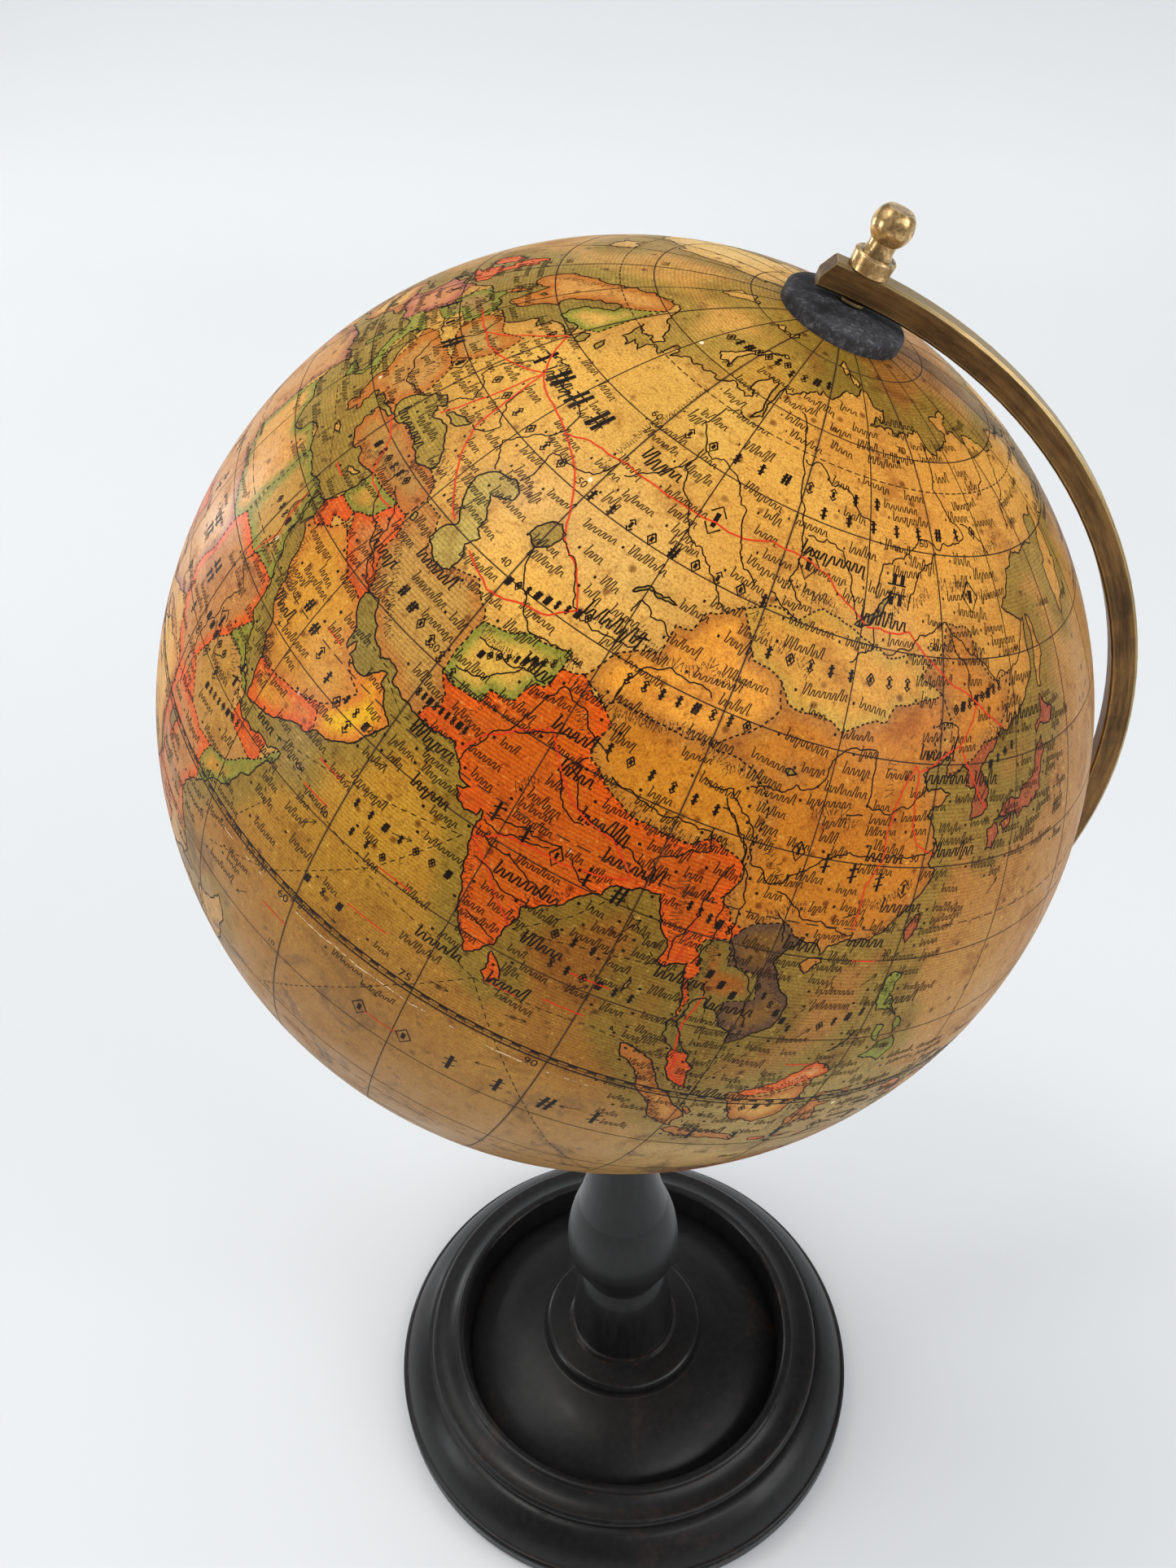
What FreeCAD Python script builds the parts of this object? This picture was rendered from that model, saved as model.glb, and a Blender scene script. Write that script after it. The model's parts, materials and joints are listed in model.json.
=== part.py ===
"""Desktop globe: a papered ball that turns in a brass half ring on a turned wooden stand.

Frame: origin at the centre of the underside, +Z up, +X towards the side the pole leans to.
The ball, its fittings and the half ring are first built about their own centre, with the
polar axis along +Z and the half ring on the +X side, and are then tilted and lifted.
"""
import FreeCAD, Part
import math
import os

# ---- driving dimensions, millimetres and degrees ----
BALL_RADIUS = 101.6            # eight inch globe, over the paper
BALL_HEIGHT = 296.0            # ball centre above the surface that the globe stands on
TILT = 23.5                    # polar axis from the vertical

GORE_COUNT = 12
GORE_THICKNESS = 0.3           # paper, paste and varnish
GORE_END_LATITUDE = 86.0       # the gores stop under the polar caps
FIRST_SEAM = -2.75             # first seam from the half ring's plane, towards the east

SHELL_THICKNESS = 4.0
STRIP_THICKNESS = 0.8
STRIP_HALF_ANGLE = 5.3         # the lap strip reaches this far either side of the equator

ROD_RADIUS = 2.0
RUNNING_CLEARANCE = 0.06       # radial, between the rod and what turns on it
CAP_RADIUS = 12.1
CAP_RIM_HEIGHT = 103.9         # top of the cap's rim, from the ball's centre
CAP_TOP_HEIGHT = 105.0         # crown of the cap, from the ball's centre
CAP_EDGE = 0.9                 # rounding of the cap's rim
BUSH_RADIUS = 4.0
BUSH_LENGTH = 15.0
BUSH_SINK = 0.4                # the bush stops this far inside the ball's surface
POST_RADIUS = 10.0
POST_END_RADIUS = 14.0
POST_END_LENGTH = 16.0
POST_BORE_RADIUS = 2.6

ARM_INNER_RADIUS = 105.95
ARM_OUTER_RADIUS = 111.3
ARM_WIDTH = 5.0
ARM_EDGE = 0.45                # bevel along the ring's four long edges
ARM_OVERHANG = 8.0             # the ring runs past the rod by this much at both ends
ARM_END_BEVEL = 2.0            # along the outer face
ARM_END_BEVEL_DEPTH = 3.4      # across the end

INNER_WASHER_RADIUS = 3.0
INNER_WASHER_GAP = 0.08        # the ring's inner face curves in over the washer
NORTH_WASHER_THICKNESS = 0.45
SOUTH_WASHER_THICKNESS = 0.7   # thrust washer, carries the ball
OUTER_WASHER_RADIUS = 4.4
OUTER_WASHER_THICKNESS = 0.8
NUT_ACROSS_FLATS = 7.0
NUT_THICKNESS = 3.0
ROD_STANDOUT = 0.7             # rod end beyond the nut
COLLAR_RADIUS = 3.9
COLLAR_TOP_RADIUS = 4.1
COLLAR_HEIGHT = 3.1
KNOB_RADIUS = 3.95
KNOB_HEIGHT = 8.55             # knob's centre above the ring's outer face
KNOB_FOOT_RADIUS = 2.9
KNOB_NECK_RADIUS = 2.6
KNOB_FLAT_RADIUS = 2.5
KNOB_BORE_DEPTH = 4.0

PAD_RADIUS = 74.0
PAD_THICKNESS = 1.5
BASE_RADIUS = 79.1
FLANGE_BOTTOM = 25.0           # underside of the column's foot flange
FLANGE_RADIUS = 26.9
TENON_RADIUS = 9.0
TENON_BOTTOM = 9.0
BULB_RADIUS = 18.0
BULB_HEIGHT = 79.0             # widest part of the baluster bulb
COLUMN_END_RADIUS = 7.6
SEAT_DEPTH = 1.6               # the half ring sinks this far into the column's end
FERRULE_RADIUS = 8.4
FERRULE_BOTTOM = 173.0
FERRULE_TOP = 182.5

BASE_SCREW_RADIUS = 2.0
BASE_SCREW_HEAD = 4.4
BASE_SCREW_LENGTH = 30.0
ARM_SCREW_RADIUS = 1.2
ARM_SCREW_HEAD = 2.1
ARM_SCREW_LENGTH = 20.0
SLOT_WIDTH = 0.7
SLOT_DEPTH = 0.8

ORIGIN = FreeCAD.Vector(0, 0, 0)
UP = FreeCAD.Vector(0, 0, 1)
ACROSS = FreeCAD.Vector(0, 1, 0)


# ---- helpers ----
def point(radius, height):
    """A point of a half section, in the XZ plane."""
    return FreeCAD.Vector(radius, 0, height)


def half_section(start, steps):
    """Closed face of a half section.

    A step is one point for a straight run, or a middle and an end point for an arc.
    """
    edges = []
    here = start
    for step in steps:
        if isinstance(step[0], tuple):
            middle, end = step
            edges.append(Part.Arc(point(*here), point(*middle), point(*end)).toShape())
        else:
            end = step
            edges.append(Part.makeLine(point(*here), point(*end)))
        here = end
    edges.append(Part.makeLine(point(*here), point(*start)))
    return Part.Face(Part.Wire(edges))


def turned(start, steps):
    """Solid turned about the Z axis."""
    return half_section(start, steps).revolve(ORIGIN, UP, 360)


def flat_ring(inner, outer, bottom, thickness):
    """Flat ring about the Z axis."""
    base = FreeCAD.Vector(0, 0, bottom)
    return Part.makeCylinder(outer, thickness, base).cut(Part.makeCylinder(inner, thickness, base))


def on_circle(radius, angle):
    """Half-section point on a circle about the origin, angle in degrees up from the radius axis."""
    turn = math.radians(angle)
    return (radius * math.cos(turn), radius * math.sin(turn))


def height_on_sphere(radius, distance):
    """Height of a sphere about the origin at a distance from its axis."""
    return math.sqrt(radius ** 2 - distance ** 2)


def to_south(shape):
    """The same piece at the south pole."""
    turned_over = shape.copy()
    turned_over.rotate(ORIGIN, ACROSS, 180)
    return turned_over


def on_stand(shape):
    """Tilt a piece built about the ball's centre and lift it to its place."""
    placed = shape.copy()
    placed.rotate(ORIGIN, ACROSS, TILT)
    placed.translate(FreeCAD.Vector(0, 0, BALL_HEIGHT))
    return placed


def countersunk_screw(shank_radius, head_radius, length):
    """Countersunk screw pointing down from a head face at z = 0: whole, and with its slot."""
    whole = turned((0, 0), [
        (head_radius, 0),
        (shank_radius, shank_radius - head_radius),
        (shank_radius, 2 * shank_radius - length),
        (0, -length),
    ])
    slot = Part.makeBox(2 * head_radius, SLOT_WIDTH, SLOT_DEPTH,
                        FreeCAD.Vector(-head_radius, -SLOT_WIDTH / 2, -SLOT_DEPTH))
    return whole, whole.cut(slot)


# ---- the ball, about its own centre ----
def sphere_part(inner, outer, south, north, start=0.0, sweep=360.0):
    """Part of a hollow sphere between two latitudes, and between two longitudes if given."""
    middle = (south + north) / 2
    face = half_section(on_circle(inner, north), [
        (on_circle(inner, middle), on_circle(inner, south)),
        on_circle(outer, south),
        (on_circle(outer, middle), on_circle(outer, north)),
    ])
    face.rotate(ORIGIN, UP, start)
    return face.revolve(ORIGIN, UP, sweep)


def gores():
    """The printed map in lune-shaped strips, pole to pole."""
    sweep = 360 / GORE_COUNT
    paper_back = BALL_RADIUS - GORE_THICKNESS
    return {
        "gore_%02d" % (number + 1): sphere_part(
            paper_back, BALL_RADIUS, -GORE_END_LATITUDE, GORE_END_LATITUDE,
            FIRST_SEAM + number * sweep, sweep)
        for number in range(GORE_COUNT)
    }


def shell_north():
    """Northern half of the ball, with a hole for the bush."""
    outer = BALL_RADIUS - GORE_THICKNESS
    inner = outer - SHELL_THICKNESS
    dome = sphere_part(inner, outer, 0, 90)
    return dome.cut(Part.makeCylinder(BUSH_RADIUS, BALL_RADIUS))


def equator_strip():
    """Lap strip glued inside across the joint of the two halves."""
    outer = BALL_RADIUS - GORE_THICKNESS - SHELL_THICKNESS
    return sphere_part(outer - STRIP_THICKNESS, outer, -STRIP_HALF_ANGLE, STRIP_HALF_ANGLE)


def core_post():
    """Pillar from pole to pole, its ends rounded to the shells and bored for the bushes."""
    inside = BALL_RADIUS - GORE_THICKNESS - SHELL_THICKNESS
    edge = height_on_sphere(inside, POST_END_RADIUS)
    neck = edge - POST_END_LENGTH
    shoulder = neck - (POST_END_RADIUS - POST_RADIUS)
    step = BALL_RADIUS - BUSH_SINK - BUSH_LENGTH
    crown = height_on_sphere(inside, BUSH_RADIUS)
    between = (POST_END_RADIUS + BUSH_RADIUS) / 2
    over = (between, height_on_sphere(inside, between))
    under = (between, -over[1])
    return turned((POST_BORE_RADIUS, -step), [
        (BUSH_RADIUS, -step),
        (BUSH_RADIUS, -crown),
        (under, (POST_END_RADIUS, -edge)),
        (POST_END_RADIUS, -neck),
        (POST_RADIUS, -shoulder),
        (POST_RADIUS, shoulder),
        (POST_END_RADIUS, neck),
        (POST_END_RADIUS, edge),
        (over, (BUSH_RADIUS, crown)),
        (BUSH_RADIUS, step),
        (POST_BORE_RADIUS, step),
    ])


def pole_bush():
    """Bush that the rod runs in."""
    bottom = BALL_RADIUS - BUSH_SINK - BUSH_LENGTH
    return flat_ring(ROD_RADIUS + RUNNING_CLEARANCE, BUSH_RADIUS, bottom, BUSH_LENGTH)


def polar_cap():
    """Turned disc that hides the gores' points, hollowed to the ball."""
    bore = ROD_RADIUS + RUNNING_CLEARANCE
    between = (bore + CAP_RADIUS) / 2
    corner = CAP_RADIUS - CAP_EDGE
    round_off = CAP_EDGE * math.sin(math.radians(45))
    return turned((bore, height_on_sphere(BALL_RADIUS, bore)), [
        ((between, height_on_sphere(BALL_RADIUS, between)),
         (CAP_RADIUS, height_on_sphere(BALL_RADIUS, CAP_RADIUS))),
        (CAP_RADIUS, CAP_RIM_HEIGHT - CAP_EDGE),
        ((corner + round_off, CAP_RIM_HEIGHT - CAP_EDGE + round_off), (corner, CAP_RIM_HEIGHT)),
        ((corner / 2, CAP_RIM_HEIGHT + 0.75 * (CAP_TOP_HEIGHT - CAP_RIM_HEIGHT)), (bore, CAP_TOP_HEIGHT)),
    ])


# ---- the half ring and the fittings on the rod, about the ball's centre ----
def axis_rod():
    """Rod that the ball turns on, from the nut to the finial knob."""
    bottom = -(ARM_OUTER_RADIUS + OUTER_WASHER_THICKNESS + NUT_THICKNESS + ROD_STANDOUT)
    top = ARM_OUTER_RADIUS + COLLAR_HEIGHT + KNOB_BORE_DEPTH
    return Part.makeCylinder(ROD_RADIUS, top - bottom, FreeCAD.Vector(0, 0, bottom))


def arm_end_bevel():
    """Prism that takes the outer corner off the half ring's north end."""
    end_angle = -math.degrees(ARM_OVERHANG / ARM_OUTER_RADIUS)
    bevel_angle = end_angle + math.degrees(ARM_END_BEVEL / ARM_OUTER_RADIUS)

    def along_ring(radius, angle):
        """Point in the ring's plane, angle from the north pole towards the ring's middle."""
        turn = math.radians(angle)
        return FreeCAD.Vector(radius * math.sin(turn), -ARM_WIDTH, radius * math.cos(turn))

    on_top = along_ring(ARM_OUTER_RADIUS, bevel_angle)
    on_end = along_ring(ARM_OUTER_RADIUS - ARM_END_BEVEL_DEPTH, end_angle)
    beyond = along_ring(ARM_OUTER_RADIUS + ARM_END_BEVEL_DEPTH, 2 * end_angle)
    outline = Part.makePolygon([on_top, on_end, beyond, on_top])
    return Part.Face(outline).extrude(FreeCAD.Vector(0, 2 * ARM_WIDTH, 0))


def meridian_arm(screw):
    """Half ring from pole to pole, bevelled along its edges, bored for the rod and the screw."""
    half = ARM_WIDTH / 2
    overhang = math.degrees(ARM_OVERHANG / ARM_OUTER_RADIUS)
    corners = [
        (half - ARM_EDGE, ARM_INNER_RADIUS), (half, ARM_INNER_RADIUS + ARM_EDGE),
        (half, ARM_OUTER_RADIUS - ARM_EDGE), (half - ARM_EDGE, ARM_OUTER_RADIUS),
        (ARM_EDGE - half, ARM_OUTER_RADIUS), (-half, ARM_OUTER_RADIUS - ARM_EDGE),
        (-half, ARM_INNER_RADIUS + ARM_EDGE), (ARM_EDGE - half, ARM_INNER_RADIUS),
    ]
    outline = [FreeCAD.Vector(0, side, out) for side, out in corners]
    section = Part.Face(Part.makePolygon(outline + outline[:1]))
    section.rotate(ORIGIN, ACROSS, -overhang)
    arm = section.revolve(ORIGIN, ACROSS, 180 + 2 * overhang)
    hole = Part.makeCylinder(ROD_RADIUS, 2 * BALL_HEIGHT, FreeCAD.Vector(0, 0, -BALL_HEIGHT))
    bevel = arm_end_bevel()
    south_bevel = bevel.mirror(ORIGIN, UP)
    return arm.cut([hole, bevel, south_bevel, screw])


def inner_washer(thickness):
    """Washer on the rod between a cap and the half ring."""
    top = ARM_INNER_RADIUS - INNER_WASHER_GAP
    return flat_ring(ROD_RADIUS, INNER_WASHER_RADIUS, top - thickness, thickness)


def finial_collar():
    """Short collar on the half ring, slightly wider at its top."""
    edge = 0.3
    top = ARM_OUTER_RADIUS + COLLAR_HEIGHT
    return turned((ROD_RADIUS, ARM_OUTER_RADIUS), [
        (COLLAR_RADIUS, ARM_OUTER_RADIUS),
        (COLLAR_TOP_RADIUS, top - edge),
        (COLLAR_TOP_RADIUS - edge, top),
        (ROD_RADIUS, top),
    ])


def finial_knob():
    """Ball nut on a waisted neck, with a flat turned top."""
    foot = ARM_OUTER_RADIUS + COLLAR_HEIGHT
    centre = ARM_OUTER_RADIUS + KNOB_HEIGHT
    neck_top = centre - height_on_sphere(KNOB_RADIUS, KNOB_NECK_RADIUS)
    flat = centre + height_on_sphere(KNOB_RADIUS, KNOB_FLAT_RADIUS)
    bore_top = foot + KNOB_BORE_DEPTH
    waist = KNOB_NECK_RADIUS - 0.05
    return turned((0, bore_top), [
        (ROD_RADIUS, bore_top),
        (ROD_RADIUS, foot),
        (KNOB_FOOT_RADIUS, foot),
        ((waist, (foot + neck_top) / 2), (KNOB_NECK_RADIUS, neck_top)),
        ((KNOB_RADIUS, centre), (KNOB_FLAT_RADIUS, flat)),
        (0, flat),
    ])


def south_washer():
    """Washer outside the half ring."""
    return flat_ring(ROD_RADIUS, OUTER_WASHER_RADIUS, ARM_OUTER_RADIUS, OUTER_WASHER_THICKNESS)


def south_nut():
    """Hexagonal nut on the rod's lower end."""
    across_corners = NUT_ACROSS_FLATS / math.cos(math.radians(30))
    bottom = ARM_OUTER_RADIUS + OUTER_WASHER_THICKNESS
    corners = [
        FreeCAD.Vector(across_corners / 2 * math.cos(math.radians(60 * number)),
                       across_corners / 2 * math.sin(math.radians(60 * number)), bottom)
        for number in range(6)
    ]
    block = Part.Face(Part.makePolygon(corners + corners[:1])).extrude(FreeCAD.Vector(0, 0, NUT_THICKNESS))
    return block.cut(Part.makeCylinder(ROD_RADIUS, 2 * NUT_THICKNESS, FreeCAD.Vector(0, 0, bottom)))


# ---- the stand, in its final place ----
def base(screw):
    """Round foot: plain side, hollow and rounded rim, lipped well with a domed floor."""
    body = turned((0, PAD_THICKNESS), [
        (BASE_RADIUS - 1.0, PAD_THICKNESS),
        (BASE_RADIUS, PAD_THICKNESS + 1.0),
        (BASE_RADIUS, 6.4),
        ((BASE_RADIUS - 0.4, 7.4), (BASE_RADIUS - 1.4, 7.8)),
        ((74.8, 12.9), (70.6, 17.0)),
        ((69.0, 18.0), (67.2, 18.4)),
        (67.2, 19.0),
        ((67.5, 20.8), (66.2, 22.0)),
        ((62.6, 22.4), (59.6, 23.9)),
        ((58.0, 25.1), (56.2, 24.2)),
        ((55.0, 18.4), (54.6, 14.2)),
        ((41.8, 21.3), (28.6, 24.8)),
        (28.0, FLANGE_BOTTOM),
        (0, FLANGE_BOTTOM),
    ])
    tenon_hole = Part.makeCylinder(TENON_RADIUS, FLANGE_BOTTOM - TENON_BOTTOM,
                                   FreeCAD.Vector(0, 0, TENON_BOTTOM))
    return body.cut([tenon_hole, screw])


def column(ring, arm_screw, base_screw):
    """Tenon, foot flange, tapering neck, groove, bulb, long taper and seat for the half ring."""
    top = BALL_HEIGHT - ARM_OUTER_RADIUS + SEAT_DEPTH
    body = turned((0, TENON_BOTTOM), [
        (TENON_RADIUS, TENON_BOTTOM),
        (TENON_RADIUS, FLANGE_BOTTOM),
        (FLANGE_RADIUS - 0.6, FLANGE_BOTTOM),
        ((FLANGE_RADIUS, 26.9), (FLANGE_RADIUS - 1.6, 28.5)),
        (18.6, 29.1),
        (17.6, 30.3),
        (16.9, 30.5),
        ((16.3, 44.0), (14.6, 55.0)),
        ((13.8, 58.2), (12.7, 60.6)),
        ((12.4, 62.4), (13.2, 64.2)),
        (14.1, 67.8),
        ((17.0, 73.1), (BULB_RADIUS, BULB_HEIGHT)),
        ((17.1, 90.0), (14.0, 101.0)),
        ((10.6, 117.6), (8.6, 138.0)),
        ((7.7, 150.0), (7.6, 160.0)),
        (9.2, 161.0),
        ((10.2, 163.0), (9.2, 165.0)),
        (7.9, 166.0),
        (COLUMN_END_RADIUS, FERRULE_BOTTOM),
        (COLUMN_END_RADIUS, top),
        (0, top),
    ])
    return body.cut([ring, arm_screw, base_screw])


def column_ferrule():
    """Thin tube that keeps the column's end from splitting, turned in at its foot."""
    return turned((COLUMN_END_RADIUS, FERRULE_BOTTOM), [
        (FERRULE_RADIUS - 0.3, FERRULE_BOTTOM),
        (FERRULE_RADIUS, FERRULE_BOTTOM + 0.3),
        (FERRULE_RADIUS, FERRULE_TOP - 0.4),
        (FERRULE_RADIUS - 0.4, FERRULE_TOP),
        (COLUMN_END_RADIUS, FERRULE_TOP),
    ])


def baize_pad():
    """Cloth disc under the foot."""
    return Part.makeCylinder(PAD_RADIUS, PAD_THICKNESS)


def placed_screws():
    """The screws in their final places, each whole and slotted."""
    whole, slotted = countersunk_screw(ARM_SCREW_RADIUS, ARM_SCREW_HEAD, ARM_SCREW_LENGTH)
    head_face = FreeCAD.Vector(0, 0, BALL_HEIGHT - height_on_sphere(ARM_INNER_RADIUS, ARM_SCREW_HEAD))
    arm_pair = [shape.translated(head_face) for shape in (whole, slotted)]

    whole, slotted = countersunk_screw(BASE_SCREW_RADIUS, BASE_SCREW_HEAD, BASE_SCREW_LENGTH)
    base_pair = []
    for shape in (whole, slotted):
        shape.rotate(ORIGIN, FreeCAD.Vector(1, 0, 0), 180)
        base_pair.append(shape.translated(FreeCAD.Vector(0, 0, PAD_THICKNESS)))
    return arm_pair, base_pair


def build():
    """All pieces by name, in their final places."""
    (arm_screw_whole, arm_screw), (base_screw_whole, base_screw) = placed_screws()
    upright = FreeCAD.Placement(FreeCAD.Vector(0, 0, BALL_HEIGHT), FreeCAD.Rotation(ACROSS, TILT))
    screw_about_ball = arm_screw_whole.transformed(upright.inverse().toMatrix())
    ring = on_stand(meridian_arm(screw_about_ball))

    pieces = {name: on_stand(shape) for name, shape in gores().items()}
    pieces["shell_north"] = on_stand(shell_north())
    pieces["shell_south"] = on_stand(to_south(shell_north()))
    pieces["equator_strip"] = on_stand(equator_strip())
    pieces["core_post"] = on_stand(core_post())
    pieces["pole_bush_north"] = on_stand(pole_bush())
    pieces["pole_bush_south"] = on_stand(to_south(pole_bush()))
    pieces["polar_cap_north"] = on_stand(polar_cap())
    pieces["polar_cap_south"] = on_stand(to_south(polar_cap()))
    pieces["axis_rod"] = on_stand(axis_rod())
    pieces["washer_north"] = on_stand(inner_washer(NORTH_WASHER_THICKNESS))
    pieces["washer_south"] = on_stand(to_south(inner_washer(SOUTH_WASHER_THICKNESS)))
    pieces["finial_collar"] = on_stand(finial_collar())
    pieces["finial_knob"] = on_stand(finial_knob())
    pieces["south_washer"] = on_stand(to_south(south_washer()))
    pieces["south_nut"] = on_stand(to_south(south_nut()))
    pieces["meridian_arm"] = ring
    pieces["arm_screw"] = arm_screw
    pieces["column"] = column(ring, arm_screw_whole, base_screw_whole)
    pieces["column_ferrule"] = column_ferrule()
    pieces["base"] = base(base_screw_whole)
    pieces["base_screw"] = base_screw
    pieces["baize_pad"] = baize_pad()
    return pieces


os.makedirs("parts", exist_ok=True)
for piece_name, piece_shape in build().items():
    piece_shape.exportStep("parts/%s.step" % piece_name)
    print(piece_name, piece_shape.isValid(), len(piece_shape.Solids), round(piece_shape.Volume, 1))
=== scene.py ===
"""Looks of a desktop globe: papered map, aged brass, ebonised wood, pale studio.

The map is drawn from longitudes and latitudes in degrees. Lengths are metres in the
part's own frame, and every place comes from the spin joint and the CAD boxes.
"""
import json
import math
import random

import bpy
import numpy as np
from mathutils import Matrix, Vector, kdtree
from mathutils.geometry import delaunay_2d_cdt


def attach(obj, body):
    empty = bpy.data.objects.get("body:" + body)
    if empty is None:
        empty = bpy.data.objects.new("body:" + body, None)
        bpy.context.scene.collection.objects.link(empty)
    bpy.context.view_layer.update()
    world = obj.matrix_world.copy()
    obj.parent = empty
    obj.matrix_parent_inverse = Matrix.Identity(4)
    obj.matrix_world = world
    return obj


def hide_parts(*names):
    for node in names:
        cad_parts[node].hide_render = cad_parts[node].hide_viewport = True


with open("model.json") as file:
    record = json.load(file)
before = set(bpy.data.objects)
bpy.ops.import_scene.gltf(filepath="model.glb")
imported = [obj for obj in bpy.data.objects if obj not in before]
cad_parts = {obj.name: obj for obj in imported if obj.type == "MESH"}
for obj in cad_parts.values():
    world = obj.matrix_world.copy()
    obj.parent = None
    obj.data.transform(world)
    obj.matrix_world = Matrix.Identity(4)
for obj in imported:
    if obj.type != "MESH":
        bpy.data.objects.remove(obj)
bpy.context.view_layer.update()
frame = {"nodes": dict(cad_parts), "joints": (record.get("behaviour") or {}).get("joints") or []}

# ---- places taken from the frame ----
MM = 0.001
SPIN = frame["joints"][0]
CENTRE = np.array(SPIN["pos_m"])
POLE = np.array(SPIN["axis"]) / np.linalg.norm(SPIN["axis"])
UNDER_ARM = np.array([POLE[2], 0.0, -POLE[0]])      # equator point under the half ring
EAST = np.cross(POLE, UNDER_ARM)
GORES = ["gore_%02d" % number for number in range(1, 13)]
GORE_SPAN = 360 / len(GORES)
gore_points = np.array([v.co for v in frame["nodes"]["gore_01"].data.vertices])
BALL_RADIUS = float(np.linalg.norm(gore_points - CENTRE, axis=1).max())

# ---- the map's driving values ----
ARM_LONGITUDE = -177.25         # meridian under the half ring at rest
FIRST_GORE_WEST = -180.0
GORE_END = 86.0                 # latitude where the gores stop, under the polar caps
GRID = 1.0                      # spacing of the paper's own vertices, degrees
COAST_STEP = 0.45               # longest straight run of a drawn coast, degrees
INK_LIFT = 0.03 * MM
VARNISH = (1.0, 1.0, 0.70, 1.0)     # yellowing, multiplied over the print
MM_PER_DEGREE = BALL_RADIUS / MM * math.pi / 180

# ---- the camera ----
CAMERA_PLACE = (0.2074, -2.5018, 1.9384)    # from the ball's centre, in ball radii
CAMERA_HEADING = -6.54
CAMERA_DOWN = 40.57
CAMERA_ROLL = -1.33
CAMERA_LENS = 32.38


def linear(red, green, blue):
    """Linear colour from eight-bit sRGB values."""
    def channel(value):
        share = value / 255
        return share / 12.92 if share <= 0.04045 else ((share + 0.055) / 1.055) ** 2.4
    return (channel(red), channel(green), channel(blue), 1.0)


# ---- materials ----
class Paint:
    """A material and a short way to write its nodes."""

    def __init__(self, name, color=(0.8, 0.8, 0.8, 1), roughness=0.5, metallic=0.0, coat=0.0,
                 coat_roughness=0.2, sheen=0.0, specular=0.5):
        """Start a material with the values that are the same all over it."""
        self.material = bpy.data.materials.new(name)
        self.material.use_nodes = True
        self.tree = self.material.node_tree
        self.shader = self.tree.nodes["Principled BSDF"]
        self.set(self.shader, {
            "Base Color": color, "Roughness": roughness, "Metallic": metallic,
            "Coat Weight": coat, "Coat Roughness": coat_roughness,
            "Sheen Weight": sheen, "Specular IOR Level": specular,
        })
        self.where = self.node("ShaderNodeTexCoord").outputs["Object"]

    def set(self, node, values):
        """Give a node's inputs a number, a colour or another node's output."""
        for key, value in values.items():
            if isinstance(value, bpy.types.NodeSocket):
                self.tree.links.new(value, node.inputs[key])
            else:
                node.inputs[key].default_value = value

    def node(self, kind, inputs=None, **settings):
        """A new node with its settings and inputs."""
        made = self.tree.nodes.new(kind)
        for key, value in settings.items():
            setattr(made, key, value)
        self.set(made, inputs or {})
        return made

    def stretched(self, x, y, z, turn=0.0):
        """Object coordinates scaled per axis, turned first about Y by an angle."""
        turned = self.node("ShaderNodeMapping", {"Vector": self.where, "Rotation": (0, turn, 0)})
        return self.node("ShaderNodeMapping", {"Vector": turned.outputs[0], "Scale": (x, y, z)}).outputs[0]

    def noise(self, scale, detail=4.0, rough=0.55, where=None, warp=0.0):
        """Noise value; scale is in features per metre."""
        return self.node("ShaderNodeTexNoise", {
            "Vector": where or self.where, "Scale": scale, "Detail": detail,
            "Roughness": rough, "Distortion": warp}).outputs["Fac"]

    def cells(self, scale, feature="F1", where=None):
        """Cell texture node; scale is in cells per metre."""
        return self.node("ShaderNodeTexVoronoi", {"Vector": where or self.where, "Scale": scale},
                         feature=feature)

    def math(self, operation, first, second=0.0, third=0.0):
        """Result of one sum on values or outputs."""
        return self.node("ShaderNodeMath", {0: first, 1: second, 2: third},
                         operation=operation).outputs[0]

    def step(self, value, low, high, to_low=0.0, to_high=1.0):
        """Smooth step between two values."""
        return self.node("ShaderNodeMapRange", {
            "Value": value, "From Min": low, "From Max": high, "To Min": to_low,
            "To Max": to_high}, interpolation_type="SMOOTHSTEP").outputs[0]

    def mix(self, share, first, second, blend="MIX"):
        """Two colours mixed."""
        node = self.node("ShaderNodeMix", data_type="RGBA", blend_type=blend)
        self.set(node, {0: share, 6: first, 7: second})
        return node.outputs[2]

    def attribute(self, name):
        """Outputs of a mesh attribute."""
        return self.node("ShaderNodeAttribute", attribute_name=name).outputs

    def bump(self, height, strength, depth, under=None):
        """Bump from a height; depth in metres."""
        values = {"Height": height, "Strength": strength, "Distance": depth}
        if under is not None:
            values["Normal"] = under
        return self.node("ShaderNodeBump", values).outputs[0]

    def done(self, **values):
        """Link the shader's inputs and give the material."""
        self.set(self.shader, {key.replace("_", " "): value for key, value in values.items()})
        return self.material


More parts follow.
